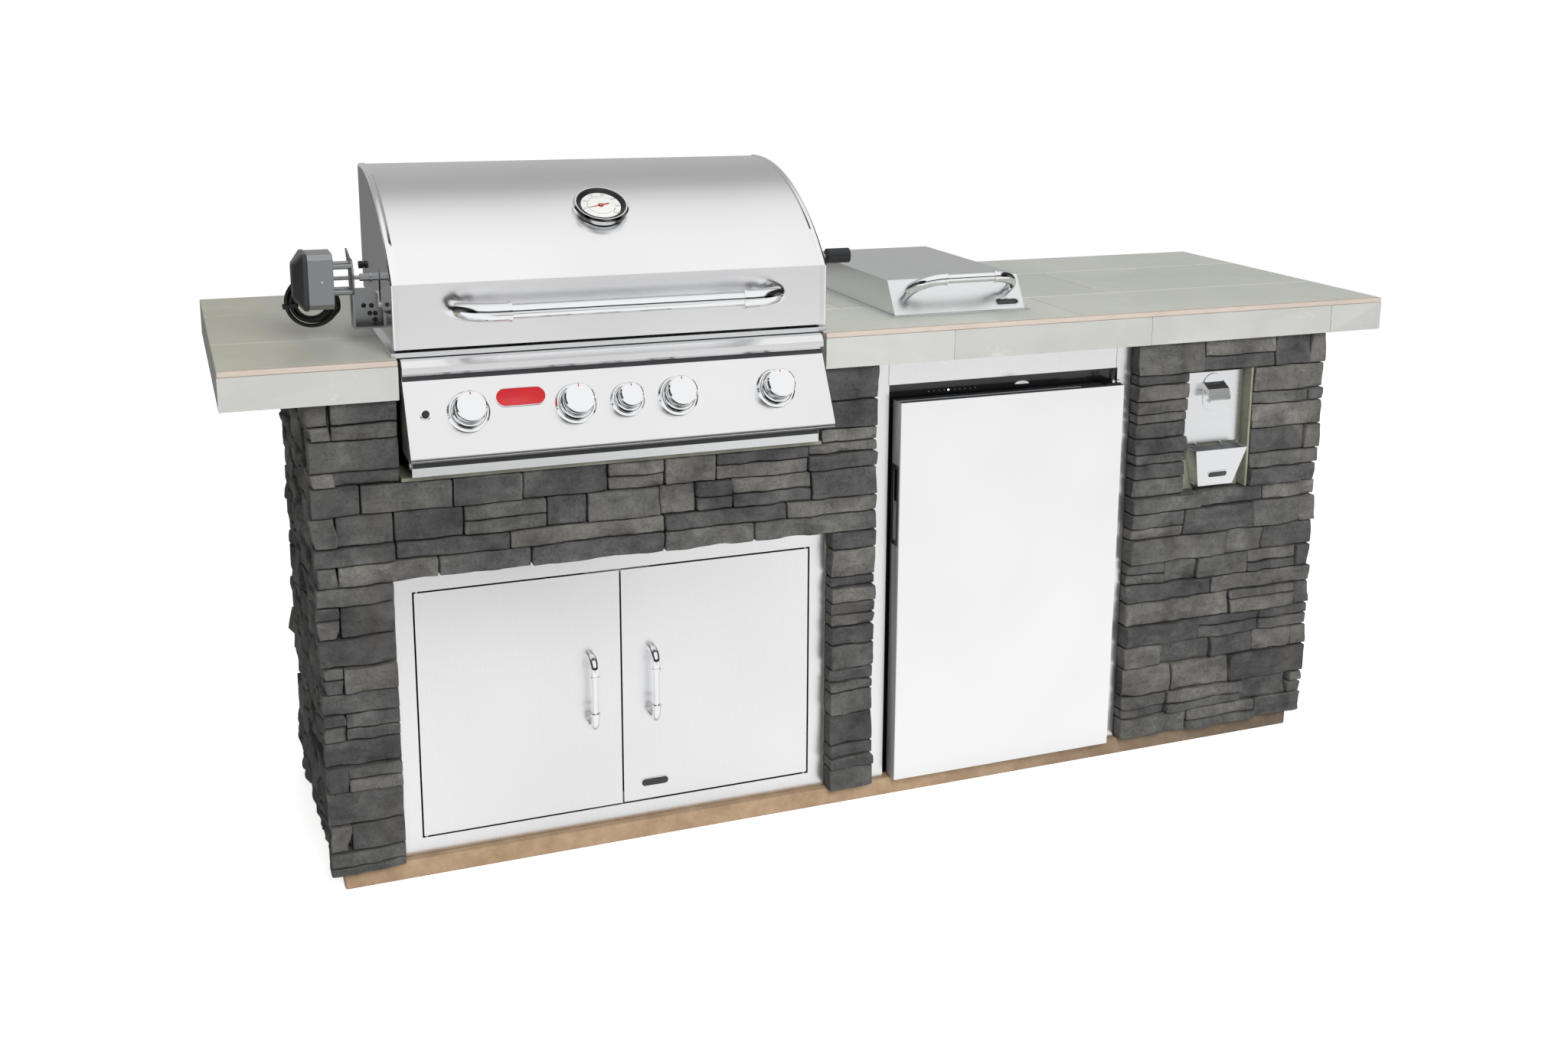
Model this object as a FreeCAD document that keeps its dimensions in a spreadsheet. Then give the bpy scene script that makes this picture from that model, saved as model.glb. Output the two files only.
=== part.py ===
import FreeCAD, Part
import math
import os
import random
import re
import Sketcher

# Outdoor kitchen island, in millimetres. The origin is the middle of the plinth's underside, +X runs to the
# right along the front, +Y to the back and +Z up.

DRIVING_SIZES = [
    # Base: plinth, boards, stone. The bays run from the left end of the wall to the right one.
    ("doors_inset", 93), ("doors_width", 792), ("middle_pier", 94), ("fridge_width", 557), ("right_bay", 416),
    ("wall_depth", 516), ("wall_top", 874), ("board", 14), ("plinth_end_lap", 14), ("plinth_front_lap", 20),
    ("plinth_height", 35), ("stone_depth", 38), ("stone_joint", 3), ("stone_relief", 8), ("course_height", 46),
    ("post", 40), ("left_pier_inset", 53), ("pier_gap", 40), ("right_pier_inset", 10), ("sill", 6),
    # Counter
    ("counter_left_lap", 168), ("counter_right_lap", 155), ("counter_front_lap", 54), ("counter_back_lap", 157),
    ("counter_thickness", 66), ("tile", 10), ("grout", 3), ("trim_width", 12), ("trim_height", 10),
    ("first_row", 235), ("tile_row", 287), ("tile_run", 600), ("edge_tile", 430),
    # Grill, with its heights taken from the counter's top
    ("grill_shift", -1.5), ("grill_width", 768), ("grill_reach", 34), ("grill_rear_gap", 18), ("notch_lap", 7),
    ("notch_drop", 205), ("rim_height", 8), ("sheet", 3), ("box_side_gap", 21), ("box_inset", 36),
    ("box_rear_gap", 4), ("box_drop", 168), ("hood_inset", 1), ("hood_shift", 3), ("hood_setback", 5),
    ("hood_depth", 375), ("hood_gap", 4), ("crease_height", 120), ("crest_height", 286), ("hood_bulge", 48),
    ("hood_side_height", 63), ("hood_band", 12), ("hood_band_rise", 1.5), ("hood_lip", 20), ("pivot_inset", 12), ("pivot_height", 104),
    ("pivot_radius", 5), ("spit_inset", 138), ("spit_height", 115), ("spit_radius", 5), ("slot_width", 24),
    ("handle_half", 200), ("handle_bend", 64), ("handle_reach", 75), ("handle_height", 80),
    ("handle_radius", 12.5), ("elbow_radius", 16), ("gauge_radius", 49), ("gauge_depth", 16), ("gauge_drop", 68),
    ("panel_inset", 13), ("panel_top_drop", 34), ("panel_top_reach", 12), ("panel_bottom_drop", 150),
    ("panel_bottom_reach", 79), ("roll_reach", 20), ("knob_pitch", 90), ("knob_drop", 89),
    ("knob_radius", 26), ("small_knob_radius", 20.5), ("knob_length", 36), ("bezel_radius", 35.5),
    ("small_bezel_radius", 30), ("bezel_rise", 7), ("stem_radius", 3.5), ("button_radius", 6),
    ("button_reach", 340), ("pipe_radius", 9), ("tray_inset", 22), ("tray_height", 26), ("tray_drop", 173),
    ("tray_reach", 22), ("tray_depth", 440), ("burner_radius", 14), ("burner_drop", 90), ("tamer_half", 62),
    ("tamer_eave", 22), ("tamer_ridge", 49), ("tamer_sheet", 3.5), ("grate_drop", 18), ("grate_rod", 4),
    ("rear_burner_half", 240), ("rear_burner_height", 76), ("rear_burner_depth", 22),
    # Rotisserie motor, bracket and cord
    ("bracket_reach", 47.5), ("bracket_height", 30), ("bracket_depth", 40),
    ("standoff_length", 31), ("standoff_radius", 4.5), ("cap_width", 23), ("case_width", 41),
    ("motor_depth", 82), ("motor_rise", 46), ("motor_height", 93), ("motor_chamfer", 17), ("plate_radius", 33),
    ("fork_tine", 90), ("fork_spread", 25), ("fork_step", 150), ("spit_grip_length", 44),
    ("cord_radius", 3.2), ("coil_radius", 28), ("coil_pitch", 7.8), ("coil_turns", 2),
    ("coil_inset", 36), ("coil_behind", 28), ("coil_drop", 2),
    # Side burner
    ("lid_step", 699.5), ("lid_width", 279), ("lid_setback", 88), ("lid_depth", 457), ("lid_height", 62),
    ("lid_lean", 39), ("lid_sheet", 2), ("flange_lap", 8), ("flange_thickness", 3), ("bowl_inset", 22),
    ("bowl_depth", 62), ("bowl_apron", 70), ("lid_bar_half", 50), ("lid_bar_radius", 9),
    ("lid_elbow_radius", 11), ("lid_bend", 56), ("lid_foot_half", 107.5), ("lid_handle_reach", 66),
    ("lid_handle_up", 36), ("ring_radius", 48), ("pan_bar", 8), ("pan_half", 114),
    # Access doors
    ("doors_bottom", 36), ("doors_height", 518), ("flange", 30), ("flange_stand", 3), ("door_thickness", 20),
    ("door_gap", 3), ("door_stile", 12), ("door_handle_length", 146), ("door_handle_radius", 5.5),
    ("door_elbow_radius", 7.5), ("door_handle_bend", 20), ("door_handle_reach", 30), ("door_handle_inset", 57),
    ("door_handle_z", 300), ("pin_radius", 2.5), ("pin_inset", 5), ("pin_fit", 0.05),
    # Fridge
    ("fridge_strip", 31), ("fridge_strip_top", 50), ("trim_stand", 9), ("fridge_door_reach", 40),
    ("fridge_door_gap", 12), ("fridge_door_slack", 14), ("fridge_door_bottom", 38), ("fridge_panel", 27),
    ("fridge_door_thickness", 38), ("gasket", 8), ("skin", 1.2), ("cabinet_gap", 4), ("cabinet_depth", 470),
    ("cabinet_wall", 26), ("shelf_rise", 170), ("shelf_ledge", 8), ("shelf_glass", 5), ("grip_height", 136),
    ("grip_drop", 60), ("grip_depth", 17), ("hinge_pin_radius", 4),
    # Bottle opener and cap catcher
    ("opener_inset", 135), ("opener_width", 134), ("opener_rise", 95), ("opener_height", 149),
    ("opener_stand", 8), ("opener_half", 25), ("opener_base_half", 23), ("opener_middle", 63), ("catcher_shift", 6.7),
    ("catcher_width", 124), ("catcher_foot", 84), ("catcher_gap", 6), ("catcher_height", 80),
    ("catcher_depth", 36), ("catcher_sheet", 1.6), ("recess_side", 10), ("recess_top", 8), ("line_gap", 2),
    ("running_gap", 1.5), ("seat", 0.3),
]

# Sizes that follow from the ones above
FOLLOWING_SIZES = {
    "wall_length": "doors_inset + doors_width + middle_pier + fridge_width + right_bay",
    "plinth_length": "wall_length + 2 * plinth_end_lap",
    "plinth_depth": "wall_depth + 2 * plinth_front_lap",
    "doors_left": "doors_inset - wall_length / 2",
    "fridge_left": "doors_left + doors_width + middle_pier",
    "divider_left": "max(fridge_left - left_pier_inset - post; grill_x + box_width / 2 + pier_gap) + post",
    "divider_right": "fridge_left + fridge_width + right_pier_inset",
    "recess_bottom": "doors_bottom + doors_height + line_gap",
    "counter_length": "wall_length + counter_left_lap + counter_right_lap",
    "counter_depth": "wall_depth + counter_front_lap + counter_back_lap",
    "counter_top": "wall_top + counter_thickness",
    "grill_x": "doors_left + doors_width / 2 + grill_shift",
    "grill_front": "-wall_depth / 2 - grill_reach",
    "grill_depth": "wall_depth + grill_reach - grill_rear_gap",
    "notch_width": "grill_width - 2 * notch_lap",
    "notch_bottom": "counter_top - notch_drop",
    "box_width": "notch_width - 2 * box_side_gap",
    "box_depth": "wall_depth / 2 - board - post - box_rear_gap - grill_front - box_inset",
    "box_bottom": "counter_top - box_drop",
    "hood_width": "grill_width - 2 * hood_inset",
    "hood_x": "grill_x + hood_shift",
    "hood_front": "grill_front + hood_setback",
    "hood_rear": "hood_front + hood_depth",
    "hood_crease": "counter_top + crease_height",
    "hood_crest": "counter_top + crest_height",
    "hood_side_bottom": "counter_top + hood_side_height",
    "pivot_y": "hood_rear - pivot_inset",
    "pivot_z": "counter_top + pivot_height",
    "spit_y": "hood_front + spit_inset",
    "spit_z": "counter_top + spit_height",
    "handle_z": "counter_top + handle_height",
    "gauge_z": "hood_crest - gauge_drop",
    "panel_width": "grill_width - 2 * panel_inset",
    "panel_top": "counter_top - panel_top_drop",
    "panel_top_y": "grill_front - panel_top_reach",
    "panel_bottom": "counter_top - panel_bottom_drop",
    "panel_bottom_y": "grill_front - panel_bottom_reach",
    "roll_y": "grill_front - roll_reach",
    "knob_z": "counter_top - knob_drop",
    "tray_width": "grill_width - 2 * tray_inset",
    "tray_top": "counter_top - tray_drop",
    "tray_front": "grill_front - tray_reach",
    "burner_z": "counter_top - burner_drop",
    "grate_z": "counter_top - grate_drop",
    "bracket_left": "hood_x - hood_width / 2 - bracket_reach",
    "bracket_floor": "counter_top + bracket_height",
    "bracket_front": "spit_y - bracket_depth / 2",
    "bracket_back": "spit_y + bracket_depth / 2",
    "motor_left": "bracket_left - standoff_length - case_width - cap_width",
    "motor_top": "spit_z + motor_rise",
    "motor_bottom": "motor_top - motor_height",
    "coil_x": "motor_left + coil_inset",
    "coil_y": "spit_y + motor_depth / 2 + coil_behind",
    "coil_z": "motor_bottom - coil_drop",
    "lid_x": "grill_x + lid_step",
    "lid_front": "grill_front + lid_setback",
    "fridge_door_front": "-wall_depth / 2 - fridge_door_reach",
    "fridge_door_left": "fridge_left + fridge_strip + fridge_door_gap",
    "fridge_door_width": "fridge_width - 2 * fridge_strip - fridge_door_slack",
    "fridge_door_top": "wall_top - fridge_strip_top - 2 - fridge_panel",
    "grip_top": "fridge_door_top - grip_drop",
    "opener_left": "fridge_left + fridge_width + opener_inset",
    "opener_bottom": "recess_bottom + opener_rise",
    "catcher_top": "opener_bottom - catcher_gap",
}

doc = FreeCAD.newDocument("outdoor_kitchen_island")
sheet = doc.addObject("Spreadsheet::Sheet", "Sizes")
for row, (alias, number) in enumerate(DRIVING_SIZES, start=1):
    sheet.set(f"A{row}", alias.replace("_", " "))
    sheet.set(f"B{row}", str(number))
    sheet.setAlias(f"B{row}", alias)
doc.recompute()

ALIASES = {alias for alias, number in DRIVING_SIZES}
V = FreeCAD.Vector
NODES = []


def bound(text):
    """An expression in which every size is a reference to its cell."""
    def cell(match):
        word = match.group()
        if word in FOLLOWING_SIZES:
            return f"({bound(FOLLOWING_SIZES[word])})"
        return "Sizes." + word if word in ALIASES else word
    return re.sub(r"[a-z_]+", cell, str(text))


def at(text):
    """The value of an expression, for shapes that are worked out in code."""
    return float(sheet.evalExpression(bound(text)))


def vec(x, y, z):
    return V(at(x), at(y), at(z))


def place(item, x, y, z, rotation=None):
    """Turns the object, then binds its base point to the sheet."""
    item.Placement = FreeCAD.Placement(vec(x, y, z), rotation or FreeCAD.Rotation())
    for letter, text in zip("xyz", (x, y, z)):
        item.setExpression(f".Placement.Base.{letter}", bound(text))
    return item


def block(name, x, y, z, length, width, height):
    """A box from its lower left front corner."""
    item = doc.addObject("Part::Box", name)
    for side, text in (("Length", length), ("Width", width), ("Height", height)):
        item.setExpression(side, bound(text))
    return place(item, x, y, z)


TURNS = {"X": FreeCAD.Rotation(V(0, 1, 0), 90), "Y": FreeCAD.Rotation(V(1, 0, 0), -90), "Z": FreeCAD.Rotation()}


def rod(name, axis, radius, x, y, z, length):
    """A cylinder that runs along an axis, or along a rotation's own Z."""
    item = doc.addObject("Part::Cylinder", name)
    item.setExpression("Radius", bound(radius))
    item.setExpression("Height", bound(length))
    return place(item, x, y, z, TURNS.get(axis, axis) if isinstance(axis, str) else axis)


def joined(name, items):
    item = doc.addObject("Part::MultiFuse", name)
    item.Shapes = items
    item.Refine = True
    return item


def less(name, base, tools):
    item = doc.addObject("Part::Cut", name)
    item.Base = base
    item.Tool = tools[0] if len(tools) == 1 else joined(name + "_cutters", tools)
    return item


def together(name, items):
    """Separate solids of one kind in one sub-part."""
    item = doc.addObject("Part::Compound", name)
    item.Links = items
    return item


def made(name, shape, origin=(0, 0, 0), rotation=None):
    """A sub-part whose shape comes from Part's own functions."""
    item = doc.addObject("Part::Feature", name)
    item.Shape = shape
    item.Placement = FreeCAD.Placement(V(*origin), rotation or FreeCAD.Rotation())
    return item


def node(name, item):
    item.Label = name
    NODES.append((name, item))
    return item


def sketch_on(body, role, name, corners, bends=None):
    """A closed outline whose corners are bound to the sheet. A bend gives the middle point of an arc."""
    sketch = body.newObject("Sketcher::SketchObject", name)
    plane = [feature for feature in body.Origin.OriginFeatures if feature.Role == role][0]
    sketch.AttachmentSupport = [(plane, "")]
    sketch.MapMode = "FlatFace"
    points = [V(at(u), at(v), 0) for u, v in corners]
    count = len(points)
    for index in range(count):
        start, end = points[index], points[(index + 1) % count]
        if bends and index in bends:
            middle = V(at(bends[index][0]), at(bends[index][1]), 0)
            sketch.addGeometry(Part.Arc(start, middle, end), False)
        else:
            sketch.addGeometry(Part.LineSegment(start, end), False)
    for index in range(count):
        following = (index + 1) % count
        curve, next_curve = sketch.Geometry[index], sketch.Geometry[following]
        end_pos = 2 if near(curve, points[following], bends, index) else 1
        start_pos = 1 if near_start(next_curve, points[following], bends, following) else 2
        sketch.addConstraint(Sketcher.Constraint("Coincident", index, end_pos, following, start_pos))
    for index, (u, v) in enumerate(corners):
        position = 1 if near_start(sketch.Geometry[index], points[index], bends, index) else 2
        for kind, text, value in (("DistanceX", u, points[index].x), ("DistanceY", v, points[index].y)):
            number = sketch.addConstraint(Sketcher.Constraint(kind, -1, 1, index, position, value))
            label = f"{kind[-1].lower()}_corner_{index}"
            sketch.renameConstraint(number, label)
            sketch.setExpression(f"Constraints.{label}", bound(text))
    for index in bends or {}:
        radius = sketch.Geometry[index].Radius
        sketch.addConstraint(Sketcher.Constraint("Radius", index, radius))
    return sketch


def near(curve, point, bends, index):
    return not (bends and index in bends) or curve.EndPoint.distanceToPoint(point) < 1e-4


def near_start(curve, point, bends, index):
    return not (bends and index in bends) or curve.StartPoint.distanceToPoint(point) < 1e-4


PLANES = {"X": "YZ_Plane", "Y": "XZ_Plane", "Z": "XY_Plane"}


def prism(name, axis, start, length, corners, bends=None):
    """A padded outline. Axis X takes (Y, Z) corners, axis Y takes (X, Z) and axis Z takes (X, Y)."""
    body = doc.addObject("PartDesign::Body", name)
    sketch = sketch_on(body, PLANES[axis], name + "_outline", corners, bends)
    pad = body.newObject("PartDesign::Pad", name + "_pad")
    pad.Profile = sketch
    pad.setExpression("Length", bound(length))
    pad.Reversed = axis == "Y"
    base = {"X": (start, 0, 0), "Y": (0, start, 0), "Z": (0, 0, start)}[axis]
    return place(body, *base)


def turned(name, corners, bends=None, rotation=None, base=(0, 0, 0)):
    """A revolved outline of (radius, height) corners about its own Z."""
    body = doc.addObject("PartDesign::Body", name)
    sketch = sketch_on(body, "XZ_Plane", name + "_outline", corners, bends)
    turn = body.newObject("PartDesign::Revolution", name + "_turn")
    turn.Profile = sketch
    turn.ReferenceAxis = (sketch, ["V_Axis"])
    turn.Angle = 360
    return place(body, *base, rotation)


def swept(path, radius, start_direction):
    """A round bar along a wire of lines and arcs."""
    first = path.OrderedVertexes[0].Point
    section = Part.Wire(Part.makeCircle(radius, first, start_direction))
    return path.makePipeShell([section], True, False)


def bent_bar(points, radius, bend):
    """A round bar through points, with each corner rounded to one bend radius."""
    edges = []
    last = points[0]
    for before, corner, after in zip(points, points[1:], points[2:]):
        incoming = (corner - before).normalize()
        outgoing = (after - corner).normalize()
        half = incoming.getAngle(outgoing) / 2
        reach = bend * math.tan(half)
        begin = corner - incoming * reach
        finish = corner + outgoing * reach
        inward = (outgoing - incoming).normalize()
        middle = corner + inward * (bend / math.cos(half) - bend)
        if (begin - last).Length > 1e-4:
            edges.append(Part.LineSegment(last, begin).toShape())
        edges.append(Part.Arc(begin, middle, finish).toShape())
        last = finish
    edges.append(Part.LineSegment(last, points[-1]).toShape())
    return swept(Part.Wire(edges), radius, points[1] - points[0])


# Base: plinth, boards, steel frame and stone
WALL_LEFT = "-wall_length / 2"
WALL_FRONT = "-wall_depth / 2"
FLOOR_TOP = "(plinth_height + board)"
RAIL_BOTTOM = "(wall_top - post)"
NOTCH_LEFT = "(grill_x - notch_width / 2)"
NOTCH_REAR = "(grill_front + grill_depth - 8)"
COUNTER_LEFT = "(-wall_length / 2 - counter_left_lap)"
COUNTER_FRONT = "(-wall_depth / 2 - counter_front_lap)"
COUNTER_TOP = "(wall_top + counter_thickness)"
SLAB_TOP = "(wall_top + counter_thickness - tile)"
DOOR_HOLE = "(doors_left + flange - 4)"
FRIDGE_HOLE = "(fridge_left + fridge_strip)"
FRIDGE_HOLE_WIDTH = "(fridge_width - 2 * fridge_strip)"
FRIDGE_HOLE_TOP = "(wall_top - fridge_strip_top)"
BOWL_LEFT = "(lid_x - lid_width / 2 - flange_lap + bowl_inset)"
BOWL_FRONT = "(lid_front - flange_lap + bowl_inset)"
BOWL_WIDTH = "(lid_width + 2 * flange_lap - 2 * bowl_inset)"
BOWL_LENGTH = "(lid_depth + 2 * flange_lap - 2 * bowl_inset)"


def base():
    node("plinth", block("plinth", "-plinth_length / 2", "-plinth_depth / 2", 0,
                         "plinth_length", "plinth_depth", "plinth_height"))
    front = block("front_sheet", WALL_LEFT, WALL_FRONT, "plinth_height", "wall_length", "board",
                  "wall_top - plinth_height")
    grill_notch = block("grill_notch", NOTCH_LEFT, f"{WALL_FRONT} - 1", f"notch_bottom - sill",
                        "notch_width", "board + 2", "wall_top")
    doors_hole = block("doors_hole", DOOR_HOLE, f"{WALL_FRONT} - 1", "doors_bottom + flange - 4",
                       "doors_width - 2 * flange + 8", "board + 2", "doors_height - 2 * flange + 8")
    fridge_hole = block("fridge_hole", FRIDGE_HOLE, f"{WALL_FRONT} - 1", 0, FRIDGE_HOLE_WIDTH, "board + 2",
                        FRIDGE_HOLE_TOP)
    pierced = less("pierced_sheet", front, [grill_notch, doors_hole, fridge_hole])
    reveal = block("mortar_reveal", "opener_left + opener_width + recess_side - 4", f"{WALL_FRONT} - stone_depth + 8",
                   "recess_bottom + 1", "5", "stone_depth - 7",
                   "opener_bottom + opener_height + recess_top - recess_bottom - 2")
    node("front_board", joined("front_board", [pierced, reveal]))

    inner_left = "(-wall_length / 2 + board)"
    inner_front = "(-wall_depth / 2 + board)"
    inner_length = "(wall_length - 2 * board)"
    inner_depth = "(wall_depth - 2 * board)"
    wall_height = "(wall_top - plinth_height)"
    boards = [
        block("back_board", WALL_LEFT, "wall_depth / 2 - board", "plinth_height", "wall_length", "board",
              wall_height),
        block("left_board", WALL_LEFT, inner_front, "plinth_height", "board", inner_depth, wall_height),
        block("right_board", "wall_length / 2 - board", inner_front, "plinth_height", "board", inner_depth,
              wall_height),
        block("floor_board", inner_left, inner_front, "plinth_height", inner_length, inner_depth, "board"),
        block("sill_cap", NOTCH_LEFT, "-wall_depth / 2 - stone_depth + 4", f"notch_bottom - sill",
              "notch_width", "stone_depth - 4 + board + post", "sill"),
    ]
    for name, left in (("left_divider", "divider_left"), ("right_divider", "divider_right")):
        boards.append(block(name, left, inner_front, FLOOR_TOP, "board", inner_depth,
                            f"{RAIL_BOTTOM} - {FLOOR_TOP}"))
    node("wall_boards", together("wall_boards", boards))

    steel = []
    post_lefts = [inner_left, "divider_left - post", "divider_right - post", f"-{inner_left} - post"]
    for index, left in enumerate(post_lefts):
        for row, front_edge in enumerate((inner_front, f"-{inner_front} - post")):
            steel.append(block(f"post_{index}_{row}", left, front_edge, FLOOR_TOP, "post", "post",
                               f"{RAIL_BOTTOM} - {FLOOR_TOP}"))
        steel.append(block(f"cross_rail_{index}", left, f"{inner_front} + post", RAIL_BOTTOM, "post",
                           f"{inner_depth} - 2 * post", "post"))
    steel.append(block("back_rail", inner_left, f"-{inner_front} - post", RAIL_BOTTOM, inner_length, "post",
                       "post"))
    steel.append(block("front_rail", "divider_left - post", inner_front, RAIL_BOTTOM,
                       f"-{inner_left} - divider_left + post", "post", "post"))
    steel.append(block("stub_rail", inner_left, inner_front, RAIL_BOTTOM, f"{NOTCH_LEFT} - {inner_left} - 6",
                       "post", "post"))
    steel.append(block("sill_rail", f"{inner_left} + post", inner_front, f"notch_bottom - sill - post",
                       f"divider_left - post - {inner_left} - post", "post", "post"))
    node("steel_frame", together("steel_frame", steel))


def course_edges(levels, chance):
    """Course boundaries between fixed levels, with uneven heights."""
    edges = [levels[0]]
    for low, high in zip(levels, levels[1:]):
        count = max(1, round((high - low) / at("course_height")))
        shares = [1 + chance.uniform(-0.36, 0.36) for _ in range(count)]
        step = (high - low) / sum(shares)
        for share in shares:
            edges.append(edges[-1] + share * step)
        edges[-1] = high
    return edges


def free_runs(start, end, low, high, openings):
    """What is left of a course beside the openings that it meets."""
    runs = [(start, end)]
    for left, right, bottom, top in openings:
        if bottom < high - 0.5 and top > low + 0.5:
            cut = []
            for first, last in runs:
                if right <= first or left >= last:
                    cut.append((first, last))
                    continue
                if left - first > 1:
                    cut.append((first, left))
                if last - right > 1:
                    cut.append((right, last))
            runs = cut
    return runs


def one_stone(first, last, low, high, depth, to_world, chance):
    """A dressed stone: flat on five sides and uneven in front."""
    relief = at("stone_relief")
    back = [(first, 0, low), (last, 0, low), (last, 0, high), (first, 0, high)]
    face = depth + chance.uniform(-relief, 0.3 * relief)
    front = [(u, face + chance.uniform(-0.3, 0.3) * relief, w) for u, _, w in back]
    ring = [to_world(*corner) for corner in back]
    outer = [to_world(*corner) for corner in front]
    faces = [Part.Face(Part.makePolygon(ring + ring[:1]))]
    for index in range(4):
        following = (index + 1) % 4
        side = [ring[index], ring[following], outer[following], outer[index], ring[index]]
        faces.append(Part.Face(Part.makePolygon(side)))
    faces.append(Part.Face(Part.makePolygon([outer[0], outer[1], outer[2], outer[0]])))
    faces.append(Part.Face(Part.makePolygon([outer[0], outer[2], outer[3], outer[0]])))
    solid = Part.makeSolid(Part.makeShell(faces))
    return solid.reversed() if solid.Volume < 0 else solid


def stones(name, sides, edges, openings, chance):
    """Courses of separate stones on one or more faces of the wall."""
    joint = at("stone_joint")
    depth = at("stone_depth")
    solids = []
    for long_first, half, to_world in sides:
        for index, (low, high) in enumerate(zip(edges, edges[1:])):
            reach = half + (depth if (index % 2 == 0) == long_first else 0)
            for start, end in free_runs(-reach, reach, low, high, openings):
                count = max(1, round((end - start) / chance.uniform(100, 220)))
                shares = [1 + chance.uniform(-0.55, 0.55) for _ in range(count)]
                step = (end - start) / sum(shares)
                first = start
                for share in shares:
                    last = first + share * step
                    beds = [low, high]
                    if high - low > 40 and chance.random() < 0.35:
                        beds.insert(1, low + (high - low) * chance.uniform(0.38, 0.62))
                    for bottom, top in zip(beds, beds[1:]):
                        solids.append(one_stone(first + joint / 2, last - joint / 2, bottom + joint / 2,
                                                top - joint / 2, depth, to_world, chance))
                    first = last
    node(name, made(name, Part.makeCompound(solids)))


def veneer():
    half_length = at("wall_length / 2")
    half_depth = at("wall_depth / 2")
    chance = random.Random(11)
    levels = [at("plinth_height"), at("recess_bottom"), at(f"notch_bottom - sill"),
              at("opener_bottom + opener_height + recess_top"), at("wall_top")]
    edges = course_edges(levels, chance)
    gap = at("stone_joint") / 2
    openings = [
        (at("doors_left") - gap, at("doors_left + doors_width") + gap, 0, at("recess_bottom")),
        (at(NOTCH_LEFT) - gap, at(f"{NOTCH_LEFT} + notch_width") + gap, at(f"notch_bottom - sill"), 2000),
        (at("fridge_left") - gap, at("fridge_left + fridge_width") + gap, 0, 2000),
        (at("opener_left - recess_side") - gap, at("opener_left + opener_width + recess_side") + gap,
         at("recess_bottom"), at("opener_bottom + opener_height + recess_top")),
    ]
    stones("stones_front", [(True, half_length, lambda u, out, z: V(u, -half_depth - out, z))], edges,
           openings, chance)
    stones("stones_back", [(True, half_length, lambda u, out, z: V(u, half_depth + out, z))], edges, [],
           chance)
    stones("stones_ends", [(False, half_depth, lambda u, out, z: V(-half_length - out, u, z)),
                           (False, half_depth, lambda u, out, z: V(half_length + out, u, z))], edges, [],
           chance)


def box_shape(x, y, z, length, width, height):
    return Part.makeBox(at(length), at(width), at(height), vec(x, y, z))


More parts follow.
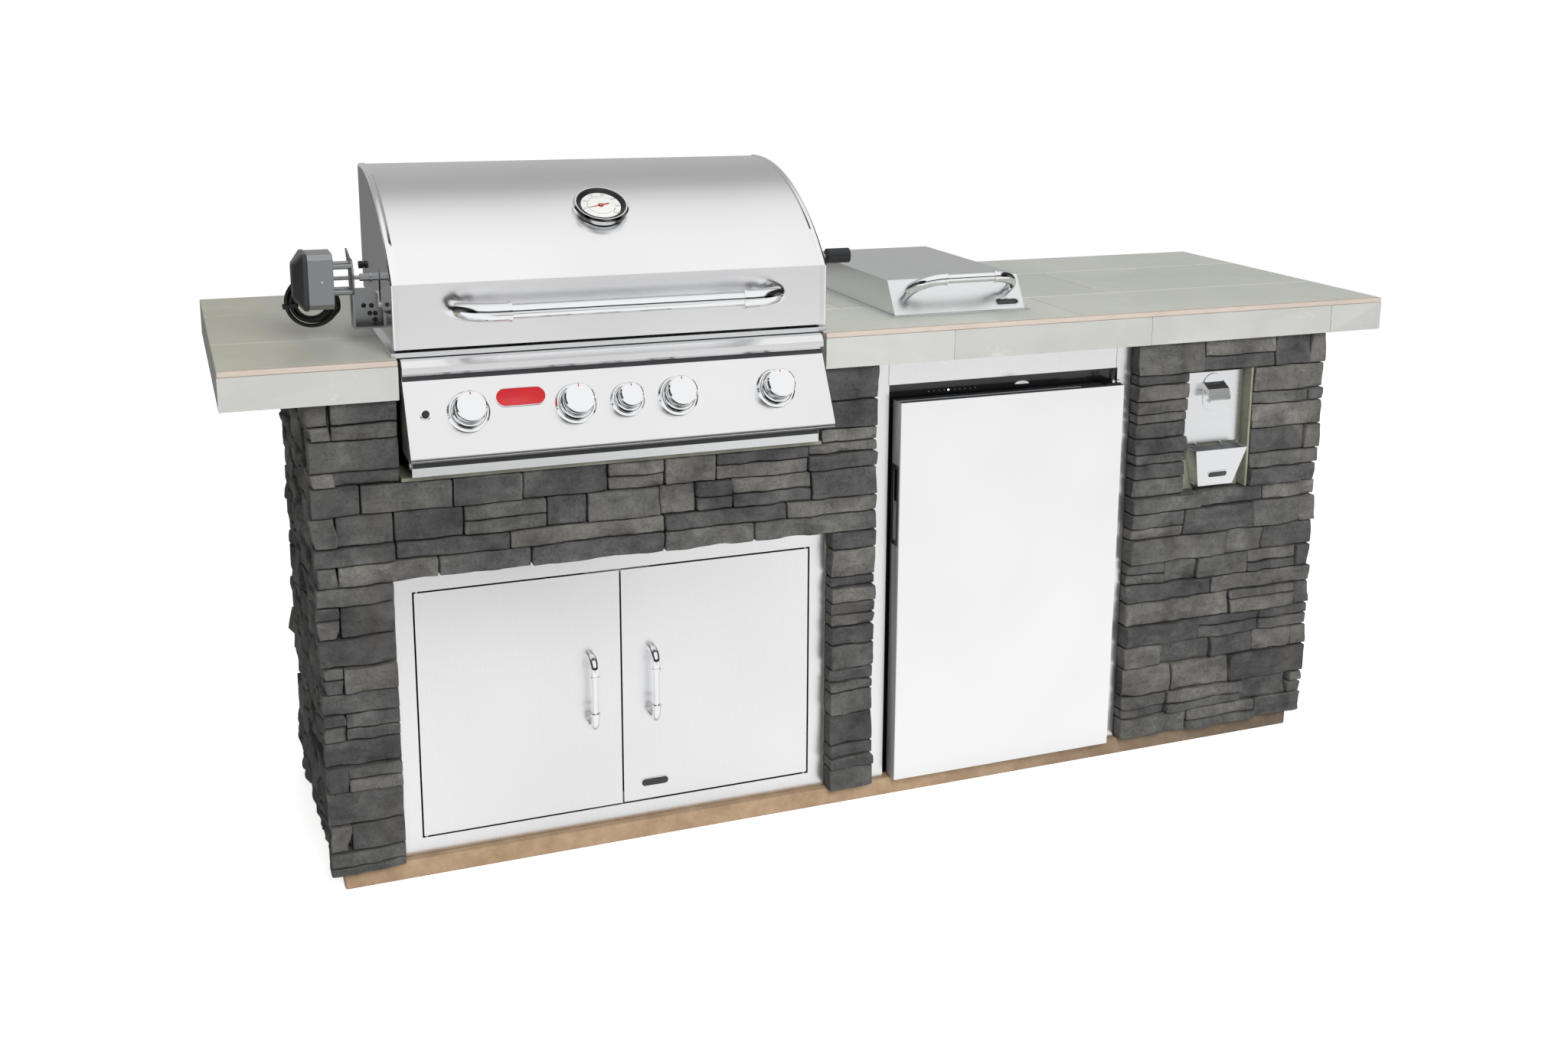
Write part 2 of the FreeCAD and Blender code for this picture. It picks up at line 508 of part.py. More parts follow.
def counter():
    slab = block("slab_block", f"{COUNTER_LEFT} + tile", f"{COUNTER_FRONT} + tile", "wall_top",
                 "counter_length - 2 * tile", "counter_depth - 2 * tile", "counter_thickness - tile")
    notch = block("slab_notch", NOTCH_LEFT, f"{COUNTER_FRONT} - 1", "wall_top - 1", "notch_width",
                  f"{NOTCH_REAR} - {COUNTER_FRONT} + 1", "counter_thickness")
    bowl_hole = block("slab_bowl_hole", f"{BOWL_LEFT} - 3",
                      f"{BOWL_FRONT} - 3", "wall_top - 1",
                      f"{BOWL_WIDTH} + 6", f"{BOWL_LENGTH} + 6",
                      "counter_thickness")
    node("counter_slab", less("counter_slab", slab, [notch, bowl_hole]))

    left, front = at(COUNTER_LEFT), at(COUNTER_FRONT)
    right, rear = left + at("counter_length"), front + at("counter_depth")
    grout, tile = at("grout"), at("tile")
    slab_top = at(SLAB_TOP)
    holes = Part.makeCompound([
        box_shape(NOTCH_LEFT, f"{COUNTER_FRONT} - 5", "wall_top - 5", "notch_width",
                  f"{NOTCH_REAR} - {COUNTER_FRONT} + 5", "counter_thickness + 10"),
        box_shape(f"{BOWL_LEFT} - 3",
                  f"{BOWL_FRONT} - 3", "wall_top",
                  f"{BOWL_WIDTH} + 6", f"{BOWL_LENGTH} + 6",
                  "counter_thickness + 10"),
    ])
    tiles = []
    rows = [front + at("trim_width"), front + at("first_row"), front + at("first_row + tile_row"), rear]
    for row, (low, high) in enumerate(zip(rows, rows[1:])):
        start = left
        step = at("tile_run") * (0.62 + 0.31 * (row % 2))
        while start < right - 1:
            end = min(start + step, right)
            if right - end < 80:
                end = right
            tiles.append(Part.makeBox(end - start - (grout if end < right else 0),
                                      high - low - (grout if high < rear else 0), tile, V(start, low, slab_top)))
            start = end
            step = at("tile_run")
    cut_tiles = [solid for item in tiles for solid in item.cut(holes).Solids]
    node("counter_tiles", made("counter_tiles", Part.makeCompound(cut_tiles)))

    edge_height = at("counter_thickness - tile")
    trim_height = at("trim_height")
    edges = []
    runs = [("front", left, right, edge_height + tile - trim_height), ("back", left, right, edge_height)]
    for side, start, end, height in runs:
        y = front if side == "front" else rear - tile
        first = start
        while first < end - 1:
            last = min(first + at("edge_tile"), end)
            if end - last < 60:
                last = end
            edges.append(Part.makeBox(last - first - (grout / 2 if last < end else 0), tile, height,
                                      V(first, y, at("wall_top"))))
            first = last
    for x in (left, right - tile):
        first = front + tile
        while first < rear - tile - 1:
            last = min(first + at("edge_tile"), rear - tile)
            if rear - tile - last < 60:
                last = rear - tile
            edges.append(Part.makeBox(tile, last - first - (grout / 2 if last < rear - tile else 0), edge_height,
                                      V(x, first, at("wall_top"))))
            first = last
    cut_edges = [solid for item in edges for solid in item.cut(holes).Solids]
    node("edge_tiles", made("edge_tiles", Part.makeCompound(cut_edges)))

    strip_bottom = f"{COUNTER_TOP} - trim_height"
    strips = [
        block("left_strip", COUNTER_LEFT, COUNTER_FRONT, strip_bottom, f"{NOTCH_LEFT} - {COUNTER_LEFT}",
              "trim_width", "trim_height"),
        block("right_strip", f"{NOTCH_LEFT} + notch_width", COUNTER_FRONT, strip_bottom,
              f"{COUNTER_LEFT} + counter_length - {NOTCH_LEFT} - notch_width", "trim_width", "trim_height"),
    ]
    node("edge_trim", together("edge_trim", strips))


def find_faces(shape, test):
    return [f"Face{index}" for index, face in enumerate(shape.Faces, start=1) if test(face)]


def hollow(body, pad_name, test, thickness):
    """Turns a padded body into sheet metal, open at the faces that pass the test."""
    doc.recompute()
    pad = doc.getObject(pad_name)
    shell = body.newObject("PartDesign::Thickness", body.Name + "_shell")
    shell.Base = (pad, find_faces(pad.Shape, test))
    shell.setExpression("Value", bound(thickness))
    shell.Mode = "Skin"
    shell.Join = "Intersection"
    shell.Reversed = True
    return body


# Grill
RIM_TOP = f"({COUNTER_TOP} + rim_height)"
HOOD_BOTTOM = f"({RIM_TOP} + hood_gap)"
HOOD_LEFT = "(hood_x - hood_width / 2)"
SIDE_X = "(hood_width / 2 - 2 * sheet - running_gap)"
PANEL_RUN = "(panel_top_y - panel_bottom_y)"
PANEL_RISE = "(panel_top - panel_bottom)"
KNOB_Y = f"(panel_top_y - (panel_top - knob_z) * {PANEL_RUN} / {PANEL_RISE})"


def panel_turn():
    """The turn that stands an upright piece square on the sloping control panel."""
    slope = math.degrees(math.atan2(at(PANEL_RUN), at(PANEL_RISE)))
    return FreeCAD.Rotation(V(1, 0, 0), 90 - slope)


def on_panel(step):
    return vec(f"grill_x + {step}", KNOB_Y, "knob_z")


def grill_body():
    ring = block("rim_plate", "grill_x - grill_width / 2", "grill_front", COUNTER_TOP, "grill_width",
                 "grill_depth", "rim_height")
    mouth = block("rim_mouth", "grill_x - box_width / 2 + 4", "grill_front + box_inset + 3", f"{COUNTER_TOP} - 1",
                  "box_width - 8", "hood_rear - grill_front - box_inset - 12", "rim_height + 2")
    plate = less("rim_ring", ring, [mouth])
    panels = []
    lug = "(spit_y - 20)", "(spit_y + 20)"
    outline = [("hood_front + hood_lip + sheet", RIM_TOP), ("hood_rear - 4", RIM_TOP), ("hood_rear - 4", "pivot_z + 12"),
               ("pivot_y - 14", "pivot_z + 12"), ("pivot_y - 14", "hood_side_bottom - 2"),
               (lug[1], "hood_side_bottom - 2"), (lug[1], "spit_z"), (lug[0], "spit_z"),
               (lug[0], "hood_side_bottom - 2"), ("hood_front + hood_lip + sheet", "hood_side_bottom - 2")]
    for name, start in (("left_side_panel", f"hood_x - {SIDE_X} - sheet"),
                        ("right_side_panel", f"hood_x + {SIDE_X}")):
        panels.append(prism(name, "X", start, "sheet", outline))
    back = block("back_panel", f"hood_x - {SIDE_X}", "hood_rear - 4 - sheet", RIM_TOP, f"2 * {SIDE_X}", "sheet",
                 "hood_crest - 31 - " + RIM_TOP)
    body = joined("rim_blank", [plate] + panels + [back])
    seat = rod("spit_seat", "X", "spit_radius + seat", "grill_x - hood_width", "spit_y", "spit_z",
               "2 * hood_width")
    node("grill_rim", less("grill_rim", body, [seat]))

    box_left = "(grill_x - box_width / 2)"
    box_front = "(grill_front + box_inset)"
    outer = block("box_outer", box_left, box_front, "box_bottom", "box_width", "box_depth",
                  f"{COUNTER_TOP} - box_bottom")
    inner = block("box_inner", f"{box_left} + sheet", f"{box_front} + sheet", "box_bottom + sheet",
                  "box_width - 2 * sheet", "box_depth - 2 * sheet", "400")
    drain = block("box_drain", "grill_x - 250", f"{box_front} + 80", "box_bottom - 1", "500",
                  "box_depth - 160", "sheet + 2")
    shell = less("box_shell", outer, [inner, drain])
    ledges = [block(f"ledge_{index}", f"{box_left} + sheet", y, "grate_z - grate_rod - 3", "box_width - 2 * sheet",
                    "14", "3")
              for index, y in enumerate((f"{box_front} + sheet", f"{box_front} + box_depth - sheet - 14"))]
    rails = [block(f"tray_rail_{index}", x, box_front, "tray_top - tray_height - 2", "3", "box_depth",
                   "box_bottom - tray_top + tray_height + 2")
             for index, x in enumerate(("grill_x - tray_width / 2 + 4", "grill_x + tray_width / 2 - 7"))]
    shelves = [block(f"tray_shelf_{index}", x, box_front, "tray_top - tray_height - 2", "12", "box_depth", "2")
               for index, x in enumerate(("grill_x - tray_width / 2 + 7", "grill_x + tray_width / 2 - 19"))]
    node("firebox", joined("firebox", [shell] + ledges + rails + shelves))


def hood_bulge_point(rise):
    """The middle of the hood's curve, raised square to the line from crease to crest."""
    chord = "sqrt(hood_depth ^ 2 + (crest_height - crease_height) ^ 2)"
    y = f"(hood_front + hood_rear) / 2 - (hood_bulge + {rise}) * (crest_height - crease_height) / {chord}"
    z = f"(hood_crease + hood_crest) / 2 + (hood_bulge + {rise}) * hood_depth / {chord}"
    return y, z


def hood():
    lip = "hood_front + hood_lip"
    outline = [("hood_rear", "hood_crest"), ("hood_front", "hood_crease"), ("hood_front", HOOD_BOTTOM),
               (lip, HOOD_BOTTOM), (lip, "hood_side_bottom"), ("hood_rear", "hood_side_bottom")]
    bends = {0: hood_bulge_point("0")}
    blank = prism("hood_blank", "X", HOOD_LEFT, "hood_width", outline, bends)
    rise = "hood_band_rise"
    band = [("hood_rear", f"hood_crest + {rise}"), (f"hood_front - {rise}", "hood_crease"),
            (f"hood_front - {rise}", HOOD_BOTTOM), (lip, HOOD_BOTTOM), (lip, "hood_side_bottom"),
            ("hood_rear", "hood_side_bottom")]
    band_bend = {0: hood_bulge_point(rise)}
    bands = [prism("left_band", "X", HOOD_LEFT, "hood_band", band, band_bend),
             prism("right_band", "X", f"{HOOD_LEFT} + hood_width - hood_band", "hood_band", band, band_bend)]
    hollow_outline = [("hood_rear + 5", "hood_crest - sheet"), ("hood_front + sheet", "hood_crease"),
                      ("hood_front + sheet", f"{HOOD_BOTTOM} - 5"), ("hood_rear + 5", f"{HOOD_BOTTOM} - 5")]
    inner_bend = {0: hood_bulge_point("-sheet")}
    inner = prism("hood_inner", "X", f"{HOOD_LEFT} + sheet", "hood_width - 2 * sheet", hollow_outline, inner_bend)
    slot = block("spit_slot", f"{HOOD_LEFT} - 1", "spit_y - slot_width / 2", "hood_side_bottom - 1",
                 "hood_width + 2", "slot_width", "spit_z - hood_side_bottom + 1")
    slot_end = rod("spit_slot_end", "X", "slot_width / 2", f"{HOOD_LEFT} - 1", "spit_y", "spit_z",
                   "hood_width + 2")
    pivot = rod("hood_pivot_hole", "X", "pivot_radius", f"{HOOD_LEFT} - 1", "pivot_y", "pivot_z",
                "hood_width + 2")
    shell = joined("hood_with_bands", [blank] + bands)
    node("hood_shell", less("hood_shell", shell, [inner, slot, slot_end, pivot]))

    pins = []
    for name, side in (("left", -1), ("right", 1)):
        panel_outside = f"hood_x + {side} * ({SIDE_X} + sheet)"
        outside = f"hood_x + {side} * (hood_width / 2 + running_gap)"
        shaft = rod(f"{name}_pivot_shaft", "X", "pivot_radius - pin_fit",
                    panel_outside if side > 0 else outside, "pivot_y", "pivot_z",
                    f"hood_width / 2 + running_gap - {SIDE_X} - sheet")
        head = rod(f"{name}_pivot_head", "X", "pivot_radius + 2", outside if side > 0 else f"{outside} - 7",
                   "pivot_y", "pivot_z", "7")
        stop = rod(f"{name}_stop_bolt", "X", "pivot_radius",
                   panel_outside if side > 0 else f"{panel_outside} - 10",
                   "pivot_y + 2", "pivot_z - 49", "10")
        pins.append(joined(f"{name}_pivot_pin", [shaft, head]))
        pins.append(stop)
    node("hood_pins", together("hood_pins", pins))

    bar_y = "hood_front - handle_reach"
    bar = rod("handle_bar", "X", "handle_radius", "grill_x - handle_half", bar_y, "handle_z", "2 * handle_half")
    post = "handle_half + handle_bend + 18"
    pieces = [bar]
    for name, side in (("left", -1), ("right", 1)):
        points = [vec(f"grill_x + {side} * handle_half", bar_y, "handle_z"),
                  vec(f"grill_x + {side} * ({post})", bar_y, "handle_z"),
                  vec(f"grill_x + {side} * ({post})", "hood_front", "handle_z")]
        pieces.append(made(f"{name}_handle_elbow", bent_bar(points, at("elbow_radius"), at("handle_bend"))))
        pieces.append(rod(f"{name}_handle_collar", "X", "elbow_radius + 1.5",
                          f"grill_x + {side} * (handle_half + 2.5) - 2.5", bar_y, "handle_z", "5"))
    node("hood_handle", joined("hood_handle", pieces))


def hood_circle():
    """Centre and radius of the hood's curve in the (Y, Z) plane."""
    curve = Part.Arc(vec(0, "hood_rear", "hood_crest"), vec(0, *hood_bulge_point("0")),
                     vec(0, "hood_front", "hood_crease")).toShape().Curve
    return curve.Center, curve.Radius


def gauge():
    centre, radius = hood_circle()
    rise = at("gauge_z") - centre.z
    out = V(0, -math.sqrt(radius ** 2 - rise ** 2), rise) / radius
    radius += at("seat")
    base_point = V(at("grill_x"), centre.y + out.y * radius, centre.z + out.z * radius)
    turn = FreeCAD.Rotation(V(1, 0, 0), math.degrees(math.atan2(-out.y, out.z)))
    face = "(gauge_depth - 5)"
    case = turned("thermometer_case",
                  [(0, 0), ("gauge_radius - 6", 0), ("gauge_radius - 6", 4), ("gauge_radius", 6),
                   ("gauge_radius", "gauge_depth - 4"), ("gauge_radius - 3", "gauge_depth"),
                   ("gauge_radius - 7", "gauge_depth"), ("gauge_radius - 9", face), (2.4, face),
                   (2.4, f"{face} + 1.8"), (0, f"{face} + 1.8")],
                  None, turn, (base_point.x, base_point.y, base_point.z))
    node("thermometer_case", case)
    hub = Part.makeCylinder(5, 1.2)
    blade = Part.Face(Part.makePolygon([V(-2.2, -9, 0), V(2.2, -9, 0), V(0.6, 35, 0), V(-0.6, 35, 0),
                                        V(-2.2, -9, 0)])).extrude(V(0, 0, 1.2))
    needle = hub.fuse(blade).cut(Part.makeCylinder(2.45, 4, V(0, 0, -1))).removeSplitter()
    lifted = base_point + out * at(f"{face} + 0.4")
    node("thermometer_needle", made("thermometer_needle", needle, tuple(lifted),
                                    turn.multiply(FreeCAD.Rotation(V(0, 0, 1), 60))))


KNOBS = {"knob_1": "-3 * knob_pitch", "knob_2": "-knob_pitch", "knob_3": "0", "knob_4": "knob_pitch",
         "knob_5": "3 * knob_pitch"}


def control_panel():
    top_inner = "grill_front + 33"
    outline = [(top_inner, COUNTER_TOP), ("grill_front + 4", COUNTER_TOP), ("roll_y + 8", f"{COUNTER_TOP} - 4"),
               ("roll_y", f"{COUNTER_TOP} - 14"), ("roll_y", f"{COUNTER_TOP} - 24"),
               ("roll_y + 6", f"{COUNTER_TOP} - 30"), ("panel_top_y", "panel_top"),
               ("panel_bottom_y", "panel_bottom"), ("panel_bottom_y - 1", "panel_bottom - 8"),
               ("panel_bottom_y + 5", "panel_bottom - 12"), (top_inner, "panel_bottom - 12")]
    left = "grill_x - panel_width / 2"
    body = prism("panel_blank", "X", left, "panel_width", outline)
    rear = at(top_inner)
    low = at("panel_bottom - 12")
    hollow(body, "panel_blank_pad",
           lambda face: abs(face.CenterOfMass.y - rear) < 0.01 or abs(face.CenterOfMass.z - low) < 0.01, "sheet")
    turn = panel_turn()
    inward = turn.multVec(V(0, 0, -1))
    holes = []
    for name, step in KNOBS.items():
        start = on_panel(step) + inward * 20
        holes.append(made(f"{name}_hole", Part.makeCylinder(at("stem_radius + 1.5"), 40), tuple(start), turn))
    start = on_panel("-button_reach") + inward * 20
    holes.append(made("button_hole", Part.makeCylinder(at("button_radius + 0.3"), 40), tuple(start), turn))
    node("control_panel", less("control_panel", body, holes))

    bezels = []
    for name, step in KNOBS.items():
        small = name == "knob_3"
        rim = "small_bezel_radius" if small else "bezel_radius"
        well = "small_knob_radius + 3" if small else "knob_radius + 3"
        spot = on_panel(step)
        bezels.append(turned(f"{name}_bezel",
                             [("stem_radius + 1.5", 0), (rim, 0), (rim, "bezel_rise - 4"),
                              (f"{rim} - 3", "bezel_rise"), (f"{well} + 1", "bezel_rise"),
                              (well, "bezel_rise - 2"), (well, 1.5), ("stem_radius + 1.5", 1.5)],
                             None, turn, tuple(spot)))
    spot = on_panel("-button_reach")
    bezels.append(turned("button_sleeve",
                         [("button_radius + 0.3", 0), ("button_radius + 3", 0), ("button_radius + 2", 4),
                          ("button_radius + 0.3", 4)], None, turn, tuple(spot)))
    node("knob_bezels", together("knob_bezels", bezels))

    for name, step in KNOBS.items():
        face = "small_knob_radius" if name == "knob_3" else "knob_radius"
        bore = "stem_radius + pin_fit"
        knob_end = "knob_length + 3"
        profile = [(bore, 3), (f"{face} + 1.5", 3), (f"{face} + 1.5", 10), (face, 12), (face, 17),
                   (f"{face} - 1.2", 18), (face, 19), (face, 24), (f"{face} - 1.2", 25), (face, 26),
                   (face, f"{knob_end} - 2.5"), (f"{face} - 2.5", knob_end), (0, knob_end), (0, 20),
                   (bore, 20)]
        node(name, turned(name, profile, None, turn, tuple(on_panel(step))))
    spot = on_panel("-button_reach")
    node("igniter_button", turned("igniter_button",
                                  [(0, -12), ("button_radius", -12), ("button_radius", 8),
                                   ("button_radius - 1.5", 10), (0, 10)], None, turn, tuple(spot)))

    pipe = Part.makeCylinder(at("pipe_radius"), at("panel_width - 2 * sheet"), V(at("grill_x - panel_width / 2 + sheet"), 0, 0),
                             V(1, 0, 0))
    pipe.translate(V(0, 1, 0) * (on_panel("0").y + inward.y * 52) + V(0, 0, 1) * (on_panel("0").z + inward.z * 52))
    pieces = [pipe]
    for step in KNOBS.values():
        spot = on_panel(step)
        pieces.append(Part.makeCylinder(at("pipe_radius + 2"), 38, spot + inward * 50, -inward))
        pieces.append(Part.makeCylinder(at("stem_radius"), 13 + 19, spot + inward * 13, -inward))
    manifold = pieces[0].multiFuse(pieces[1:]).removeSplitter()
    node("gas_manifold", made("gas_manifold", manifold))


def burners():
    box_front = "(grill_front + box_inset + sheet)"
    run = "box_depth - 2 * sheet"
    eave = "burner_z + tamer_eave"
    ridge = "burner_z + tamer_ridge"
    tubes = []
    tamers = []
    for index in range(4):
        x = f"grill_x + {2 * index - 3} * knob_pitch"
        tubes.append(rod(f"burner_tube_{index}", "Y", "burner_radius", x, box_front, "burner_z", run))
        tamers.append(prism(f"flame_tamer_{index}", "Y", box_front, run,
                            [(f"{x} - tamer_half", eave), (f"{x} - tamer_half + 2", f"{eave} - 3"),
                             (x, f"{ridge} - tamer_sheet"), (f"{x} + tamer_half - 2", f"{eave} - 3"),
                             (f"{x} + tamer_half", eave), (x, ridge)]))
    node("main_burners", together("main_burners", tubes))
    node("flame_tamers", together("flame_tamers", tamers))

    span = at("box_width - 2 * sheet - 12")
    count = 3
    rods_each = 9
    width = span / count
    left = at("grill_x") - span / 2
    low = at("grate_z - grate_rod")
    y_front = at(box_front) + 1
    length = at(run) - 2
    radius = at("grate_rod")
    grates = []
    for section in range(count):
        start = left + section * width + 2
        bars = [Part.makeBox(width - 4, 8, 2 * radius, V(start, y, low))
                for y in (y_front, y_front + length - 8)]
        pitch = (width - 4 - 2 * radius) / (rods_each - 1)
        for index in range(rods_each):
            bars.append(Part.makeCylinder(radius, length - 16, V(start + radius + index * pitch, y_front + 8,
                                                                 low + radius), V(0, 1, 0)))
        grates.append(bars[0].multiFuse(bars[1:]).removeSplitter())
    node("cooking_grates", made("cooking_grates", Part.makeCompound(grates)))

    plate = block("rear_burner_block", "grill_x - rear_burner_half", "hood_rear - 4 - sheet - rear_burner_depth",
                  "pivot_z + 22", "2 * rear_burner_half", "rear_burner_depth", "rear_burner_height")
    recess = block("rear_burner_recess", "grill_x - rear_burner_half + 8",
                   "hood_rear - 5 - sheet - rear_burner_depth", "pivot_z + 30", "2 * rear_burner_half - 16", "7",
                   "rear_burner_height - 16")
    node("rear_burner", less("rear_burner", plate, [recess]))

    tray_left = "(grill_x - tray_width / 2)"
    bottom = "(tray_top - tray_height)"
    strip = block("tray_strip", tray_left, "tray_front", bottom, "tray_width", "4", "tray_height")
    pan = block("tray_pan", f"{tray_left} + 8 + running_gap", "tray_front + 4", f"{bottom} + seat",
                "tray_width - 16 - 2 * running_gap", "tray_depth", "tray_height - 6")
    scoop = block("tray_scoop", f"{tray_left} + 10 + running_gap", "tray_front + 6", f"{bottom} + 2 + seat",
                  "tray_width - 20 - 2 * running_gap", "tray_depth - 4", "tray_height")
    node("drip_tray", joined("drip_tray", [strip, less("tray_hollow", pan, [scoop])]))


# Rotisserie
MOTOR_RIGHT = "(motor_left + cap_width + case_width)"
PLATE_X = "bracket_left"
SPIT_RIGHT = f"({HOOD_LEFT} + hood_width + 55)"


def rotisserie():
    coupling = f"({PLATE_X} + 15)"
    thin = rod("drive_shaft", "X", "stem_radius", f"{MOTOR_RIGHT} - 12", "spit_y", "spit_z",
               f"{coupling} - {MOTOR_RIGHT} + 12")
    hexagon = doc.addObject("Part::Prism", "spit_coupling")
    hexagon.Polygon = 6
    hexagon.setExpression("Circumradius", bound("spit_radius + 1.5"))
    hexagon.setExpression("Height", bound(f"{HOOD_LEFT} - {coupling}"))
    place(hexagon, coupling, "spit_y", "spit_z", TURNS["X"])
    collar = rod("spit_collar", "X", "spit_radius + 3.5", f"{HOOD_LEFT} - 17", "spit_y", "spit_z", "4")
    bar = rod("spit_bar", "X", "spit_radius", HOOD_LEFT, "spit_y", "spit_z", f"{SPIT_RIGHT} + 30 - {HOOD_LEFT}")
    node("spit_rod", joined("spit_rod", [thin, hexagon, collar, bar]))
    grip = rod("grip_blank", "X", "spit_radius + 9", SPIT_RIGHT, "spit_y", "spit_z", "spit_grip_length")
    bore = rod("grip_bore", "X", "spit_radius + seat", f"{SPIT_RIGHT} - 1", "spit_y", "spit_z", "31")
    node("spit_grip", less("spit_grip", grip, [bore]))

    forks = []
    for side in (-1, 1):
        middle = vec(f"grill_x + {side} * fork_step", "spit_y", "spit_z")
        spread = at("fork_spread")
        hub = Part.makeCylinder(12, 18, middle - V(9, 0, 0), V(1, 0, 0))
        cross = Part.makeCylinder(3, 2 * spread + 6, middle - V(0, spread + 3, 0), V(0, 1, 0))
        tines = [Part.makeCylinder(2.6, at("fork_tine"), middle + V(0, offset, 0), V(-side, 0, 0))
                 for offset in (-spread, spread)]
        bore_shape = Part.makeCylinder(at("spit_radius + seat"), 80, middle - V(40, 0, 0), V(1, 0, 0))
        forks.append(hub.multiFuse([cross] + tines).cut(bore_shape).removeSplitter())
    node("spit_forks", made("spit_forks", Part.makeCompound(forks)))

    panel_face = f"hood_x - {SIDE_X} - sheet"
    ledge = "(hood_side_bottom - 4)"
    clear = f"({HOOD_LEFT} - running_gap)"
    crown = "(spit_z - 21)"
    wall = prism("bracket_wall", "X", PLATE_X, "sheet",
                 [("bracket_front", "bracket_floor"), ("bracket_back", "bracket_floor"), ("bracket_back", crown),
                  ("spit_y + 31", "spit_z + 6"), ("spit_y + 66", "spit_z + 42"),
                  ("spit_y + 8", "spit_z + plate_radius - 2"), ("bracket_front", "spit_z")])
    disc = rod("bracket_disc", "X", "plate_radius", PLATE_X, "spit_y", "spit_z", "sheet")
    floor = block("bracket_floor_sheet", PLATE_X, "bracket_front", "bracket_floor", f"{panel_face} - {PLATE_X}",
                  "bracket_depth", "sheet")
    flange = block("bracket_flange", f"{panel_face} - sheet", "bracket_front", "bracket_floor", "sheet",
                   "bracket_depth", f"{ledge} - bracket_floor")
    rear = prism("bracket_rear", "Y", "bracket_back - sheet", "sheet",
                 [(PLATE_X, "bracket_floor"), (panel_face, "bracket_floor"), (panel_face, ledge), (clear, ledge),
                  (clear, f"{crown} - 12"), (f"{clear} - 10", crown), (PLATE_X, crown)])
    blank = joined("bracket_blank", [wall, disc, floor, flange, rear])
    shaft_hole = rod("bracket_shaft_hole", "X", "stem_radius + 5", f"{PLATE_X} - 1", "spit_y", "spit_z",
                     "sheet + 2")
    node("motor_bracket", less("motor_bracket", blank, [shaft_hole]))

    tubes = []
    for index, (dy, dz) in enumerate(((-18, 22), (18, 22), (-18, -22), (18, -22))):
        tubes.append(rod(f"standoff_{index}", "X", "standoff_radius", MOTOR_RIGHT, f"spit_y + {dy}",
                         f"spit_z + {dz}", f"{PLATE_X} - {MOTOR_RIGHT}"))
    node("motor_standoffs", together("motor_standoffs", tubes))

    half = "(motor_depth / 2)"
    chamfer = 9
    case = prism("case_blank", "X", "motor_left + cap_width", "case_width",
                 [(f"spit_y - {half}", f"motor_bottom + {chamfer}"), (f"spit_y - {half} + {chamfer}",
                                                                      "motor_bottom"),
                  (f"spit_y + {half} - {chamfer}", "motor_bottom"), (f"spit_y + {half}",
                                                                     f"motor_bottom + {chamfer}"),
                  (f"spit_y + {half}", f"motor_top - {chamfer}"), (f"spit_y + {half} - {chamfer}", "motor_top"),
                  (f"spit_y - {half} + {chamfer}", "motor_top"), (f"spit_y - {half}", f"motor_top - {chamfer}")])
    socket = rod("case_socket", "X", "stem_radius + pin_fit", f"{MOTOR_RIGHT} - 12", "spit_y", "spit_z", "13")
    node("motor_case", less("motor_case", case, [socket]))

    def octagon(x, inset, cut):
        y0, y1 = at(f"spit_y - {half}") + inset, at(f"spit_y + {half}") - inset
        z0, z1 = at("motor_bottom") + inset, at("motor_top") - inset
        corners = [V(x, y0, z0 + cut), V(x, y0 + cut, z0), V(x, y1 - cut, z0), V(x, y1, z0 + cut),
                   V(x, y1, z1 - cut), V(x, y1 - cut, z1), V(x, y0 + cut, z1), V(x, y0, z1 - cut)]
        return Part.makePolygon(corners + corners[:1])

    right = at("motor_left + cap_width")
    cap = Part.makeLoft([octagon(right, -1.5, 10), octagon(right - 7, -1.5, 10),
                         octagon(at("motor_left"), at("motor_chamfer"), 10)], True, True)
    node("motor_end_cap", made("motor_end_cap", cap))


def biarc(start, start_way, end, end_way):
    """Two arcs that leave the start and reach the end along given directions."""
    span = end - start
    both = start_way + end_way
    spread = 2 * (1 - start_way.dot(end_way))
    if spread < 1e-9:
        reach = span.dot(span) / (2 * span.dot(both)) if abs(span.dot(both)) > 1e-9 else span.Length / 2
    else:
        reach = (-span.dot(both) + math.sqrt(span.dot(both) ** 2 + spread * span.dot(span))) / spread
    first = start + start_way * reach
    second = end - end_way * reach
    middle = (first + second) * 0.5
    return [arc_from(start, first, middle), arc_from(middle, second, end)]


def arc_from(begin, corner, finish):
    """The arc that touches begin-corner and corner-finish at its ends."""
    incoming = (corner - begin).normalize()
    outgoing = (finish - corner).normalize()
    half = incoming.getAngle(outgoing) / 2
    radius = (corner - begin).Length / math.tan(half)
    inward = (outgoing - incoming).normalize()
    return Part.Arc(begin, corner + inward * (radius / math.cos(half) - radius), finish).toShape()


def coil_stations():
    """Places and directions at each half turn: in on the front layer, across, and out on the rear one."""
    centre = vec("coil_x", 0, "coil_z")
    inner, pitch, turns = at("coil_radius"), at("coil_pitch"), int(at("coil_turns"))
    layers = at("coil_y") - pitch / 2, at("coil_y") + pitch / 2
    steps = 2 * turns
    radii = [inner + pitch * (steps - index) / 2 for index in range(steps + 1)]
    stations = []
    angle = math.radians(135)
    for layer, sizes in zip(layers, (radii, radii[::-1])):
        for size in sizes:
            out = V(math.cos(angle), 0, math.sin(angle))
            stations.append((V(centre.x, layer, centre.z) + out * size, V(-out.z, 0, out.x)))
            angle += math.pi
    return stations


